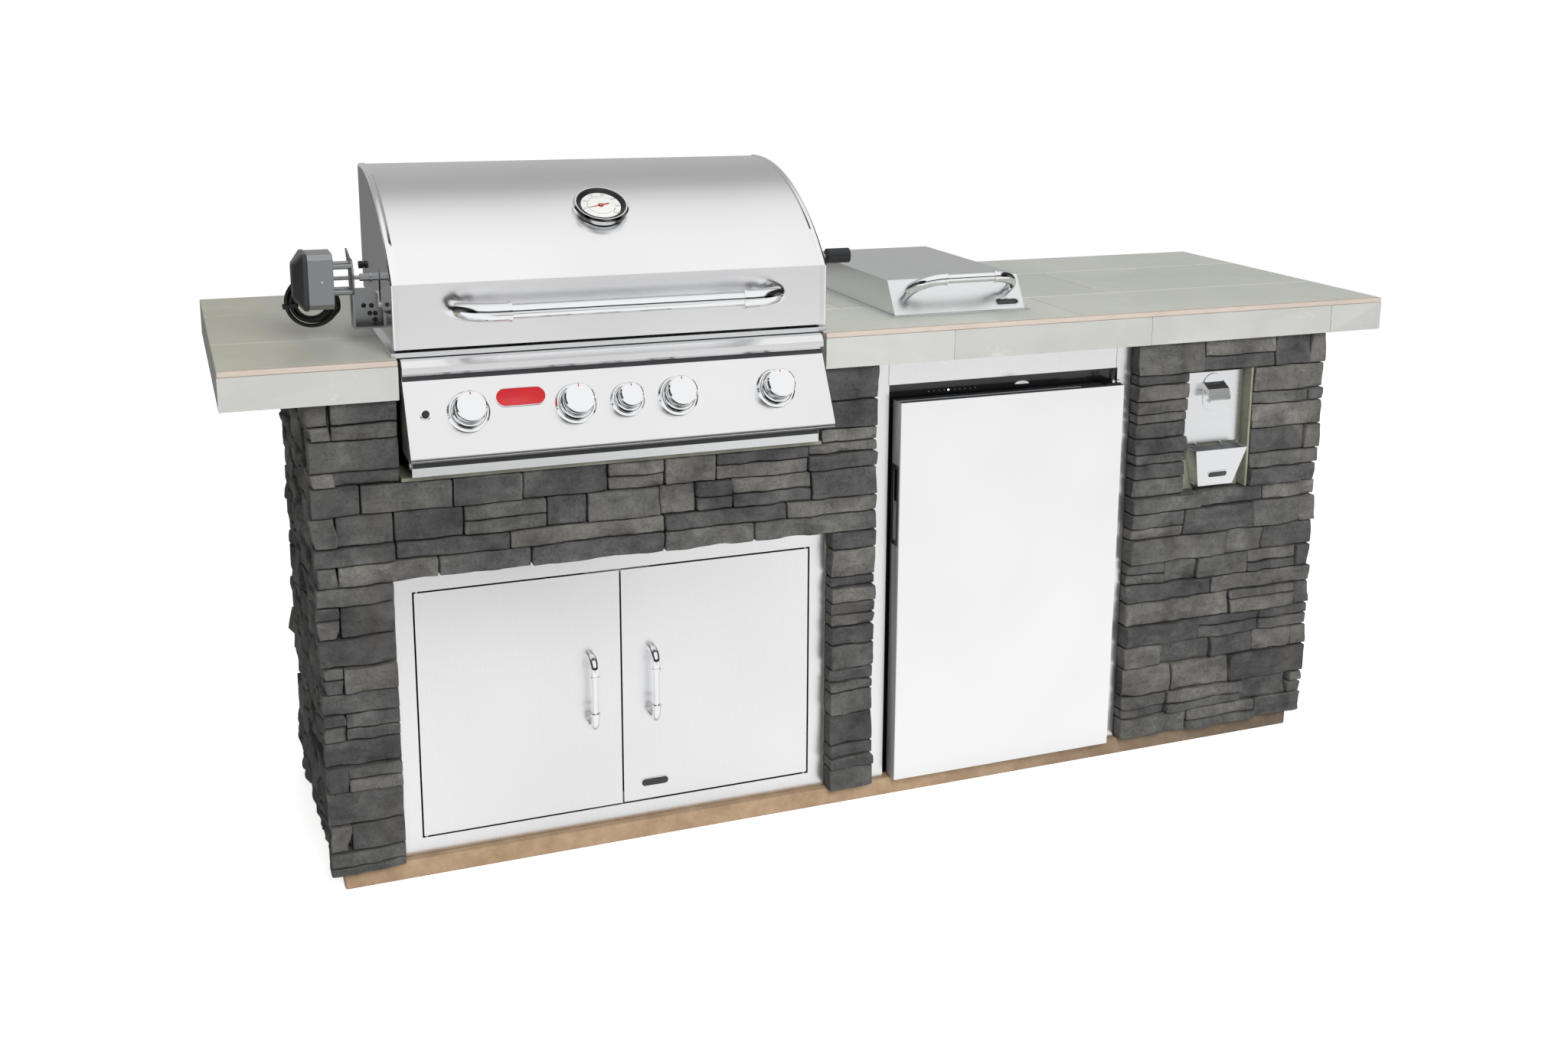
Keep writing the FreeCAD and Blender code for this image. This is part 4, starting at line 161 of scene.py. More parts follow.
def polished_chrome(name, hexcode, low=0.04, high=0.10):
    """Chromium plate on polished steel: near mirror, with faint cloudiness."""
    material, tree, shader, place = start(name)
    haze = add(tree, "TexNoise", {"Vector": place}, Scale=40.0, Detail=2.0)
    rough = add(tree, "MapRange", {"Value": haze.outputs["Fac"]}, To_Min=low, To_Max=high)
    tree.links.new(rough.outputs["Result"], shader.inputs["Roughness"])
    shader.inputs["Base Color"].default_value = colour(hexcode)
    shader.inputs["Metallic"].default_value = 1
    return material


def cast_ledgestone():
    """Cast stone veneer: split faces in mid grey, chalky crumbs, dark pits and a little brown stain."""
    material, tree, shader, place = start("cast_ledgestone")
    island = add(tree, "NewGeometry").outputs["Random Per Island"]
    broad = add(tree, "TexNoise", {"Vector": place}, Scale=16.0, Detail=7.0, Roughness=0.66)
    grit = add(tree, "TexNoise", {"Vector": place}, Scale=190.0, Detail=7.0, Roughness=0.74)
    body = ramp(tree, broad.outputs["Fac"], (0.26, "5F5F5E"), (0.42, "7A7A79"), (0.58, "949491"), (0.76, "BCBCB6"))
    each = ramp(tree, island, (0.0, "A9AAAC"), (0.4, "C4C5C6"), (0.75, "DAD9D6"), (1.0, "F2EEE8"))
    speck = ramp(tree, grit.outputs["Fac"], (0.30, "B4B4B4"), (0.46, "F0F0F0"), (0.66, "FFFFFF"))
    crumbs = tinted(tree, tinted(tree, body, each), speck)
    stain = add(tree, "TexNoise", {"Vector": place}, Scale=5.0, Detail=4.0)
    stain_mask = add(tree, "MapRange", {"Value": stain.outputs["Fac"]}, From_Min=0.58, From_Max=0.75, To_Max=0.5)
    stained = add(tree, "Mix", {0: stain_mask.outputs["Result"], 6: crumbs}, data_type="RGBA")
    stained.inputs[7].default_value = colour("6F6860")
    # Splitting leaves shallow shells, long along the bed and a few centimetres across.
    bed = add(tree, "Mapping", {"Vector": place}, Scale=(26, 26, 52))
    shells = add(tree, "TexVoronoi", {"Vector": bed.outputs["Vector"]}, Scale=1.0, feature="F1")
    relief = add(tree, "Math", {0: grit.outputs["Fac"], 2: broad.outputs["Fac"]}, operation="MULTIPLY_ADD")
    relief.inputs[1].default_value = 0.45
    height = add(tree, "Math", {0: shells.outputs["Distance"], 2: relief.outputs[0]}, operation="MULTIPLY_ADD")
    height.inputs[1].default_value = 0.8
    bump = add(tree, "Bump", {"Height": height.outputs[0]}, Strength=1.0, Distance=0.011)
    tree.links.new(stained.outputs[2], shader.inputs["Base Color"])
    tree.links.new(bump.outputs["Normal"], shader.inputs["Normal"])
    shader.inputs["Roughness"].default_value = 0.88
    return material


def honed_tile(name, base, vein, mist, greyer_left=None):
    """Honed porcelain tile: soft sheen, cloudy body and a few pale veins."""
    material, tree, shader, place = start(name)
    island = add(tree, "NewGeometry").outputs["Random Per Island"]
    cloud = add(tree, "TexNoise", {"Vector": place}, Scale=4.5, Detail=5.0, Roughness=0.6, Distortion=0.6)
    body = ramp(tree, cloud.outputs["Fac"], (0.3, mist), (0.7, base))
    veins = add(tree, "TexNoise", {"Vector": place}, Scale=9.0, Detail=7.0, Roughness=0.68, Distortion=1.6)
    thin = add(tree, "MapRange", {"Value": veins.outputs["Fac"]}, From_Min=0.60, From_Max=0.72, To_Max=0.55)
    mixed = add(tree, "Mix", {0: thin.outputs["Result"], 6: body}, data_type="RGBA")
    mixed.inputs[7].default_value = colour(vein)
    toned = tinted(tree, mixed.outputs[2], ramp(tree, island, (0.0, "F2F2F2"), (1.0, "FFFFFF")))
    if greyer_left:
        # The tiles at the left end are a little darker and yellower.
        sideways = add(tree, "SeparateXYZ", {"Vector": place}).outputs["X"]
        side = add(tree, "MapRange", {"Value": sideways}, From_Min=-1.1, From_Max=-0.7)
        toned = tinted(tree, toned, ramp(tree, side.outputs["Result"], (0.0, greyer_left), (1.0, "FFFFFF")))
    bump = add(tree, "Bump", {"Height": veins.outputs["Fac"]}, Strength=0.08, Distance=0.001)
    tree.links.new(toned, shader.inputs["Base Color"])
    tree.links.new(bump.outputs["Normal"], shader.inputs["Normal"])
    shader.inputs["Roughness"].default_value = 0.42
    return material


def rough_mineral(name, low, high, greyer_right=None):
    """Mortar, cement board or cast concrete: gritty, dull and uneven in tone."""
    material, tree, shader, place = start(name)
    sand = add(tree, "TexNoise", {"Vector": place}, Scale=24.0, Detail=8.0, Roughness=0.7)
    toned = ramp(tree, sand.outputs["Fac"], (0.3, low), (0.7, high))
    if greyer_right:
        # The right end is painted greyer.
        sideways = add(tree, "SeparateXYZ", {"Vector": place}).outputs["X"]
        side = add(tree, "MapRange", {"Value": sideways}, From_Min=0.1, From_Max=0.95)
        toned = tinted(tree, toned, ramp(tree, side.outputs["Result"], (0.0, "FFFFFF"), (1.0, greyer_right)))
    tree.links.new(toned, shader.inputs["Base Color"])
    bump = add(tree, "Bump", {"Height": sand.outputs["Fac"]}, Strength=0.5, Distance=0.002)
    tree.links.new(bump.outputs["Normal"], shader.inputs["Normal"])
    shader.inputs["Roughness"].default_value = 0.9
    return material


def moulded(name, hexcode, roughness, grain=900.0, coat=0.0, metallic=0.0):
    """Moulded plastic, rubber or baked paint with a fine even grain."""
    material, tree, shader, place = start(name)
    pebble = add(tree, "TexNoise", {"Vector": place}, Scale=grain, Detail=2.0)
    rough = add(tree, "MapRange", {"Value": pebble.outputs["Fac"]}, To_Min=roughness - 0.06, To_Max=roughness + 0.06)
    tree.links.new(rough.outputs["Result"], shader.inputs["Roughness"])
    bump = add(tree, "Bump", {"Height": pebble.outputs["Fac"]}, Strength=0.12, Distance=0.0003)
    tree.links.new(bump.outputs["Normal"], shader.inputs["Normal"])
    shader.inputs["Base Color"].default_value = colour(hexcode)
    shader.inputs["Coat Weight"].default_value = coat
    shader.inputs["Metallic"].default_value = metallic
    return material


def clear_glass():
    """Float glass: clear, with a cool edge."""
    material, _, shader, _ = start("float_glass")
    shader.inputs["Base Color"].default_value = colour("E8F2F0")
    shader.inputs["Roughness"].default_value = 0.03
    shader.inputs["Transmission Weight"].default_value = 0.9
    return material


def lit(name, hexcode, strength):
    """A small lamp lens or display dot that glows on its own."""
    material, _, shader, _ = start(name)
    shader.inputs["Base Color"].default_value = colour(hexcode)
    shader.inputs["Emission Color"].default_value = colour(hexcode)
    shader.inputs["Emission Strength"].default_value = strength
    return material


STEEL = brushed_stainless("brushed_stainless_along_x", "ECEDEE", roughness=0.26)
# The bracket's steel is a darker copy of the brushed sheet: painted shade for the bracket, which sits in shadow.
BRACKET_STEEL = brushed_stainless("bracket_stainless_painted_shade", "98999B", roughness=0.3)
HOOD_STEEL = brushed_stainless("brushed_stainless_hood", "FAFAFB", roughness=0.22, streak=0.06, depth=0.012,
                               bright_bands=(HOOD_MID_X, 0.371))
PANEL_STEEL = brushed_stainless("brushed_stainless_panel", "F1F1F2", roughness=0.2, streak=0.06, depth=0.012)
DOOR_STEEL = brushed_stainless("brushed_stainless_doors", "FAFAFB", grain=(0, 0, 1), roughness=0.28, streak=0.05,
                               depth=0.02)
PALE_STEEL = brushed_stainless("bead_blasted_door_steel", "FDFDFD", grain=(0, 0, 1), roughness=0.2, streak=0.05,
                               depth=0.02)
ALUMINIUM = brushed_stainless("satin_cast_aluminium", "A2A3A5", grain=(0, 0, 1), roughness=0.34, depth=0.02)
CHROME = polished_chrome("polished_chrome", "F2F3F4")
# A satin copy of the chrome with a darker colour: painted shade, so the standoffs and spit look as dark as their
# reflections.
DIMMED_CHROME = polished_chrome("satin_chrome_painted_shade", "9C9EA0", 0.14, 0.22)
STONE = cast_ledgestone()
TOP_TILE = honed_tile("honed_porcelain_top", "DCDED6", "ECEEE8", "D0D3CA", greyer_left="EEEBDF")
EDGE_TILE = honed_tile("honed_porcelain_edge", "C5C6C2", "E4E5E1", "BABBB7")
TRIM_TILE = honed_tile("honed_porcelain_trim", "CBBEB3", "D6CBC2", "C0B2A6")
GROUT = rough_mineral("sanded_grout", "D4D5CC", "E6E7DF")
MORTAR = rough_mineral("green_grey_mortar", "7C7D70", "9A9A8A")
CONCRETE = rough_mineral("tan_concrete", "A08569", "BFA588", greyer_right="A8B0BC")
PAINTED = moulded("galvanised_paint", "6A6C6E", 0.5)
BLACK_IRON = moulded("seasoned_cast_iron", "1B1B1C", 0.62, grain=260.0)
BLACK_BOLT = moulded("black_oxide_steel", "161616", 0.38)
BLACK_PLASTIC = moulded("black_moulded_abs", "1C1D1F", 0.42)
CAP_PLASTIC = moulded("dark_grey_moulded_abs", "2C2D2F", 0.36)
EDGE_GREY = moulded("silver_grey_moulding", "A6A8AA", 0.4)
RUBBER = moulded("black_pvc_sheath", "121212", 0.45, coat=0.2)
FRIDGE_BLACK = moulded("black_gloss_cabinet", "0B0B0C", 0.22, coat=0.4)
LINER = moulded("grey_white_liner", "B4B6B8", 0.45)
BRASS = moulded("turned_brass", "C9A866", 0.3, metallic=1.0)
GLASS = clear_glass()
RED_ENAMEL = moulded("red_vitreous_enamel", "B80F18", 0.3, coat=0.1)
BLACK_ENAMEL = moulded("black_vitreous_enamel", "17181A", 0.22, coat=0.6)
DIAL_WHITE = moulded("white_printed_dial", "F2F2EF", 0.5)
DIAL_GREY = moulded("grey_printing_ink", "6D7072", 0.5)
DIAL_RED = moulded("red_printing_ink", "A81F30", 0.5)
GLOW = lit("white_display_glow", "E8F0FF", 1.2)

FINISHES = {
    CONCRETE: ["plinth"],
    PAINTED: ["steel_frame"],
    MORTAR: ["front_board", "wall_boards"],
    STONE: ["stones_front", "stones_ends", "stones_back"],
    GROUT: ["counter_slab"],
    TOP_TILE: ["counter_tiles"],
    EDGE_TILE: ["edge_tiles"],
    TRIM_TILE: ["edge_trim"],
    STEEL: ["firebox", "grill_rim", "main_burners", "flame_tamers", "cooking_grates",
            "burner_tray", "bottle_opener", "cap_catcher", "drip_tray", "burner_lid"],
    BRACKET_STEEL: ["motor_bracket"],
    HOOD_STEEL: ["hood_shell"],
    PANEL_STEEL: ["control_panel"],
    DOOR_STEEL: ["door_frame", "door_left", "door_right", "fridge_trim"],
    PALE_STEEL: ["fridge_door"],
    CHROME: ["knob_bezels", "hood_handle", "thermometer_case", "knob_1", "knob_2", "knob_3", "knob_4", "knob_5",
             "lid_handle", "burner_knob", "door_handle_left", "door_handle_right"],
    DIMMED_CHROME: ["motor_standoffs", "spit_rod", "spit_forks"],
    BRASS: ["gas_manifold"],
    BLACK_IRON: ["rear_burner", "burner_head", "burner_grate"],
    BLACK_BOLT: ["hood_pins"],
    DIAL_RED: ["thermometer_needle"],
    ALUMINIUM: ["motor_case"],
    CAP_PLASTIC: ["motor_end_cap"],
    BLACK_PLASTIC: ["cord_plug", "igniter_button", "spit_grip"],
    RUBBER: ["motor_cord", "cord_coil"],
    FRIDGE_BLACK: ["fridge_cabinet"],
    LINER: ["fridge_liner"],
    GLASS: ["fridge_shelves"],
}
FINISH_OF = {name: finish for finish, names in FINISHES.items() for name in names}
for name, finish in FINISH_OF.items():
    for slot in parts[name].material_slots:
        slot.material = finish


# --------------------------------------------------------------- making pieces
MERGE_DISTANCE = 0.00002
FLAT_ANGLE = math.radians(0.4)


def clear():
    """Leaves nothing selected."""
    bpy.ops.object.select_all(action="DESELECT")


def take(item):
    """Makes one object the only one being worked on."""
    clear()
    item.select_set(True)
    bpy.context.view_layer.objects.active = item


def freeze():
    """Applies the place, turn and size of the object being worked on to its mesh."""
    bpy.ops.object.transform_apply(location=True, rotation=True, scale=True)


def pick(test, kind="faces"):
    """Selects the faces, edges or vertices of the object in edit mode that pass the test."""
    item = bpy.context.object
    bpy.ops.mesh.select_mode(type={"faces": "FACE", "edges": "EDGE", "vertices": "VERT"}[kind])
    bpy.ops.mesh.select_all(action="DESELECT")
    bpy.ops.object.mode_set(mode="OBJECT")
    chosen = {"faces": item.data.polygons, "edges": item.data.edges, "vertices": item.data.vertices}[kind]
    for element in chosen:
        element.select = bool(test(element))
    bpy.ops.object.mode_set(mode="EDIT")


def settle(name, body, material, smooth):
    """Names the object being worked on, gives it its finish, and lets it ride on a body.

    Edges under the angle smooth, in degrees, are shaded smooth. With None all faces stay flat.
    """
    item = bpy.context.object
    if item.mode == "EDIT":
        bpy.ops.object.mode_set(mode="OBJECT")
    take(item)
    freeze()
    if smooth is not None:
        bpy.ops.object.shade_smooth_by_angle(angle=math.radians(smooth))
    item.name = name
    item.data.name = name
    item.data.materials.clear()
    item.data.materials.append(material)
    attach(item, body)
    return item


def use(kind, **settings):
    """Adds a modifier to the object being worked on and applies it."""
    if bpy.context.object.mode == "EDIT":
        bpy.ops.object.mode_set(mode="OBJECT")
    bpy.ops.object.modifier_add(type=kind)
    modifier = bpy.context.object.modifiers[-1]
    for key, value in settings.items():
        setattr(modifier, key, value)
    bpy.ops.object.modifier_apply(modifier=modifier.name)


def ease(width, segments=2, angle=35):
    """Rounds the sharp edges of the object being worked on."""
    use("BEVEL", width=width, segments=segments, limit_method="ANGLE", angle_limit=math.radians(angle))


def copy_of(node):
    """A merged copy of a CAD node's mesh, ready to be worked on."""
    take(parts[node])
    bpy.ops.object.duplicate()
    bpy.ops.object.mode_set(mode="EDIT")
    bpy.ops.mesh.select_all(action="SELECT")
    bpy.ops.mesh.remove_doubles(threshold=MERGE_DISTANCE)


def stand(place, out=UP, across=RIGHT):
    """Stands the object being worked on at a place, its Z along out and its X along across."""
    item = bpy.context.object
    if item.mode == "EDIT":
        bpy.ops.object.mode_set(mode="OBJECT")
    take(item)
    freeze()
    out = Vector(out).normalized()
    across = (Vector(across) - out * out.dot(Vector(across))).normalized()
    turned_axes = Matrix((across, out.cross(across), out)).transposed().to_4x4()
    item.matrix_world = Matrix.Translation(place) @ turned_axes


def turn_up(steps, sides):
    """Turns a closed solid about Z from (radius, height) steps, each an extrusion scaled to its radius."""
    clear()
    radius, height = steps[0]
    bpy.ops.mesh.primitive_circle_add(vertices=sides, radius=radius, fill_type="NGON", location=(0, 0, height))
    bpy.ops.object.mode_set(mode="EDIT")
    bpy.ops.mesh.select_all(action="SELECT")
    for next_radius, next_height in steps[1:]:
        bpy.ops.mesh.extrude_region_move(TRANSFORM_OT_translate={"value": (0, 0, next_height - height)})
        size = next_radius / radius
        bpy.ops.transform.resize(value=(size, size, 1), center_override=(0, 0, next_height))
        radius, height = next_radius, next_height
    bpy.ops.mesh.select_all(action="SELECT")
    bpy.ops.mesh.normals_make_consistent(inside=False)
    bpy.ops.object.mode_set(mode="OBJECT")


def block(low, high):
    """A box from its lowest to its highest corner."""
    clear()
    middle = [(a + b) / 2 for a, b in zip(low, high)]
    bpy.ops.mesh.primitive_cube_add(size=1, location=middle, scale=[b - a for a, b in zip(low, high)])


def turned_piece(name, body, steps, sides, place, out, finish):
    """A finished turned piece, standing at a place with its axis along out."""
    turn_up(steps, sides)
    stand(place, out)
    settle(name, body, finish, 35)


def strip(name, body, low, high, finish, width=0.0003):
    """A finished thin strip with eased edges."""
    block(low, high)
    ease(width)
    settle(name, body, finish, 35)


def cut(low, high):
    """Cuts a box-shaped opening into the object being worked on."""
    item = bpy.context.object
    block(low, high)
    cutter = bpy.context.object
    take(item)
    use("BOOLEAN", operation="DIFFERENCE", object=cutter, solver="EXACT")
    take(cutter)
    bpy.ops.object.delete()
    take(item)


def join(items):
    """Joins finished bits into one object, which is then worked on."""
    clear()
    for item in items:
        item.select_set(True)
    bpy.context.view_layer.objects.active = items[0]
    bpy.ops.object.join()


def set_out(spots):
    """Copies the object being worked on to each (place, out, across) spot, and joins the copies."""
    model = bpy.context.object
    copies = []
    for spot in spots:
        take(model)
        bpy.ops.object.duplicate()
        stand(*spot)
        copies.append(bpy.context.object)
    take(model)
    bpy.ops.object.delete()
    join(copies)


# ------------------------------------------------------------------------ cord
CORD = 0.0064
COIL_CENTRE = Vector((-0.975, 0, 1.006))
LEAD = [(-0.970, -0.108, 1.081), (-0.970, -0.089, 1.081), (-0.979, -0.078, 1.063), (-0.9928, -0.0839, 1.0499)]
TAIL = [(-0.9396, -0.0761, 0.9797), (-0.9283, -0.0761, 0.9910), (-0.9316, -0.0681, 1.0157),
        (-0.9436, -0.0631, 1.0347)]
INNER_TURN, OUTER_TURN, PITCH = 0.028, 0.0436, 0.0078
FRONT_LAYER, REAR_LAYER = -0.0839, -0.0761
COIL_START, CROSSING_START, CROSSING_END = 135, 855, 1035
COIL_STEP, COIL_STEPS = 22.5, 73
# The spline cuts inside its control points, so these stand a fiftieth further out than the turns.
SPLINE_PULL = 0.981
TIE_TURN, TIE_REACH = math.radians(188), 0.0359


def coil_point(angle):
    """The coil winds inwards on its front layer, crosses over, and winds outwards on its rear layer."""
    if angle <= CROSSING_START:
        radius, depth = OUTER_TURN - (angle - COIL_START) / 360 * PITCH, FRONT_LAYER
    elif angle <= CROSSING_END:
        share = (angle - CROSSING_START) / (CROSSING_END - CROSSING_START)
        radius = INNER_TURN
        depth = FRONT_LAYER + (REAR_LAYER - FRONT_LAYER) * share * share * (3 - 2 * share)
    else:
        radius, depth = INNER_TURN + (angle - CROSSING_END) / 360 * PITCH, REAR_LAYER
    radius /= SPLINE_PULL
    turn = math.radians(angle)
    return COIL_CENTRE + Vector((radius * math.cos(turn), depth, radius * math.sin(turn)))


def lay_line(name, points, thickness, radii=None, smoothness=8):
    """A round line along one NURBS spline."""
    curve = bpy.data.curves.new(name, "CURVE")
    curve.dimensions = "3D"
    curve.bevel_depth = thickness / 2
    curve.bevel_resolution = 4
    curve.resolution_u = smoothness
    curve.use_fill_caps = True
    spline = curve.splines.new("NURBS")
    spline.points.add(len(points) - 1)
    for index, (point, place) in enumerate(zip(spline.points, points)):
        point.co = (*place, 1)
        point.radius = radii[index] if radii else 1
    spline.order_u = 3
    spline.use_endpoint_u = True
    item = bpy.data.objects.new(name, curve)
    bpy.context.collection.objects.link(item)
    take(item)
    return item


def span(edge):
    """The way from one end to the other of an edge of the mesh being worked on."""
    corners = bpy.context.object.data.vertices
    return corners[edge.vertices[0]].co - corners[edge.vertices[1]].co


def make_sleeve():
    """The strain relief where the cord leaves the motor, thick at the case and thin at its end."""
    second = (Vector(LEAD[1]) + Vector(LEAD[2])) / 2
    lay_line("lead_sleeve", [LEAD[0], LEAD[1], second], CORD, radii=(2.0, 1.6, 1.12), smoothness=20)
    bpy.ops.object.convert(target="MESH")
    return settle("lead_sleeve", "island", RUBBER, 50)


def make_plug():
    """The plug's ribbed shell and its two pins, in line with the cord's end."""
    along = (Vector(TAIL[3]) - Vector(TAIL[2])).normalized()
    turn_up([(0.0034, -0.001), (0.005, 0.0), (0.0054, 0.003), (0.0046, 0.0038), (0.006, 0.0068), (0.0052, 0.0076),
             (0.0072, 0.0108), (0.0104, 0.0135), (0.011, 0.0150), (0.011, 0.0300), (0.0100, 0.032)], 32)
    stand(TAIL[3], along)
    ease(0.0004, angle=25)
    shell = settle("plug_shell", "island", RUBBER, 40)
    turn_up([(0.002, 0.031), (0.002, 0.0466), (0.0016, 0.0478), (0.0008, 0.048)], 20)
    across = along.cross(FRONT).normalized()
    set_out([(Vector(TAIL[3]) + across * offset, along, across) for offset in (-0.006, 0.006)])
    pins = settle("plug_pins", "island", CHROME, 40)
    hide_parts("cord_plug")
    return shell, pins


def make_tie():
    """A flat tie, rounded at its corners, that holds the bundle at its left."""
    outward = Vector((math.cos(TIE_TURN), 0, math.sin(TIE_TURN)))
    block((-0.0122, -0.0082, -0.0035), (0.0122, 0.0082, 0.0035))
    freeze()
    bpy.ops.object.mode_set(mode="EDIT")
    pick(lambda face: abs(face.normal.z) > 0.9)
    bpy.ops.mesh.delete(type="FACE")
    pick(lambda edge: abs(span(edge).normalized().z) > 0.9, "edges")
    bpy.ops.mesh.bevel(offset=0.004, segments=4)
    use("SOLIDIFY", thickness=0.0009, offset=1)
    stand(COIL_CENTRE + outward * TIE_REACH + Vector((0, -0.080, 0)), outward.cross(FRONT), outward)
    return settle("bundle_tie", "island", BLACK_PLASTIC, 40)


def lay_cord():
    """The spit motor's lead: bundled as four flat turns behind the motor, with its plug tucked in."""
    turns = [coil_point(COIL_START + COIL_STEP * step) for step in range(COIL_STEPS)]
    lead = lay_line("motor_lead", LEAD + turns + TAIL, CORD)
    lead.data.materials.append(RUBBER)
    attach(lead, "island")
    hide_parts("motor_cord", "cord_coil")
    sleeve = make_sleeve()
    shell, pins = make_plug()
    tie = make_tie()


lay_cord()


# ------------------------------------------------------------------ split stone
# Each layer of relief: its name, grain size, noise depth (0 for cells) and strength.
RELIEF = (("stone_lumps", 0.085, 2, 0.018), ("stone_chips", 0.020, 2, 0.006), ("stone_facets", 0.052, 0, 0.010),
          ("stone_beds", 0.045, 2, 0.0034))


def hew(node, out_axis, fineness):
    """Gives each plain block of a wall face a split front, nearly straight beds and worn arrises."""
    copy_of(node)
    bpy.ops.mesh.tris_convert_to_quads(face_threshold=math.radians(60), shape_threshold=math.radians(180))
    for _ in range(5):
        pick(lambda edge: span(edge).length > fineness, "edges")
        bpy.ops.mesh.subdivide(number_cuts=1)
    ease(0.0018, 1, 50)
    for title, size, depth, strength in RELIEF:
        # Facets come from cells, as where a chisel has split flakes off. The rest is cloudy.
        cloud = bpy.data.textures.new(f"{title}_{node}", "CLOUDS" if depth else "VORONOI")
        cloud.noise_scale = size
        if depth:
            cloud.noise_depth = depth
        use("DISPLACE", texture=cloud, direction="Z" if title == "stone_beds" else out_axis, strength=strength,
            mid_level=0.5)
    wall = settle(node.replace("stones", "hewn_stones"), "island", STONE, 30)
    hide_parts(node)


hew("stones_front", "Y", 0.015)
hew("stones_back", "Y", 0.026)
hew("stones_ends", "X", 0.018)


# ---------------------------------------------------------- eased edges, grout
def soften(node, body, width):
    """A copy of a CAD node with its edges rounded, which stands for it."""
    copy_of(node)
    bpy.ops.mesh.dissolve_limited(angle_limit=FLAT_ANGLE)
    ease(width)
    item = settle(f"eased_{node}", body, FINISH_OF[node], 35)
    # Weighted by area, so the flat sheet stays flat beside its rounded edges.
    use("WEIGHTED_NORMAL", keep_sharp=True)
    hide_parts(node)


HOOD_HALF_WIDTH, HOOD_FRONT = 0.3825, -0.2860
HOOD_ARC_Y, HOOD_ARC_Z, HOOD_ARC_RADIUS = 0.06807, 0.76446, 0.4600


def on_hood_rim(edge):
    """Whether an edge lies on the outer corner of one of the hood's end panels."""
    corners = bpy.context.object.data.vertices
    ends = [corners[index].co for index in edge.vertices]
    return all(abs(end.x - HOOD_MID_X) > HOOD_HALF_WIDTH
               and (end.y < HOOD_FRONT or math.hypot(end.y - HOOD_ARC_Y, end.z - HOOD_ARC_Z) > HOOD_ARC_RADIUS)
               for end in ends)


def roll_hood_ends():
    """The hood's end bands are rolled, so their outer edges are round."""
    copy_of("hood_shell")
    bpy.ops.mesh.dissolve_limited(angle_limit=FLAT_ANGLE)
    pick(on_hood_rim, "edges")
    bpy.ops.mesh.bevel(offset=0.0045, segments=4)
    item = settle("rolled_hood", "hood", HOOD_STEEL, 30)
    use("WEIGHTED_NORMAL", keep_sharp=True)
    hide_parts("hood_shell")


roll_hood_ends()
for node, body, finish_slot, width in (
        ("counter_tiles", "island", "top_tile", 0.0012),
        ("edge_trim", "island", "trim_tile", 0.0020), ("plinth", "island", "tan_concrete", 0.0040),
        ("control_panel", "island", "grill_steel", 0.0008), ("door_left", "left_door", "door_steel", 0.0016),
        ("door_right", "right_door", "door_steel", 0.0016), ("fridge_door", "fridge_leaf", "pale_steel", 0.0022),
        ("drip_tray", "drip_drawer", "grill_steel", 0.0012), ("burner_lid", "side_lid", "grill_steel", 0.0012),
        ("motor_case", "island", "motor_housing", 0.0022), ("motor_end_cap", "island", "dark_plastic", 0.0012),
        ("bottle_opener", "island", "grill_steel", 0.0010), ("cap_catcher", "island", "grill_steel", 0.0008)):
    soften(node, body, width)


TOP_GROUT, EDGE_GROUT = (0.9295, 0.9386), (0.8755, 0.9285)


def fill_joints():
    """Grout between the tiles, a little under their faces, on the top and along the edges."""
    beds = ((-1.1405, -0.8665, -0.3085, 0.4115), (-0.8665, -0.1105, 0.233, 0.4115), (-0.1105, 0.082, -0.3085, 0.4115),
            (0.082, 0.340, -0.3085, -0.1935), (0.082, 0.340, 0.2425, 0.4115), (0.340, 1.1275, -0.3085, 0.4115))
    edges = ((-1.1415, -0.8665, -0.3102, -0.3015), (-0.1105, 1.1285, -0.3102, -0.3015),
             (-1.1415, 1.1285, 0.4045, 0.4132), (-1.1425, -1.1335, -0.3015, 0.4045),
             (1.1205, 1.1295, -0.3015, 0.4045))
    bits = []
    for rows, (low, high) in ((beds, TOP_GROUT), (edges, EDGE_GROUT)):
        for left, right, front, back in rows:
            block((left, front, low), (right, back, high))
            bits.append(bpy.context.object)
    join(bits)
    ease(0.0006, 1)
    settle("joint_grout", "island", GROUT, 35)


fill_joints()


# ----------------------------------------------------------------- thermometer
SCALE_START, SCALE_SWEEP, SCALE_MAJORS = 194, 240, 6
INK, PRINT_HEIGHT = 0.01127, 0.00012
TICK_FOOT, NUMBER_RADIUS = 0.0238, 0.0306


def on_dial(angle, radius, height):
    """A point on the dial, in the dial's own axes."""
    turn = math.radians(angle)
    return Vector((radius * math.cos(turn), radius * math.sin(turn), height))


def make_dial():
    """A black well ring round a white card."""
    turned_piece("dial_well_ring", "hood", [(0.0440, 0.0108), (0.0440, 0.0162), (0.0432, 0.0166), (0.0415, 0.0165),
                                            (0.0372, 0.0130), (0.0354, 0.01105)],
                 72, DIAL_SPOT, DIAL_OUT, BLACK_PLASTIC)
    turned_piece("dial_card", "hood", [(0.0352, 0.01095), (0.0352, 0.0112), (0.0349, 0.01125)],
                 72, DIAL_SPOT, DIAL_OUT, DIAL_WHITE)


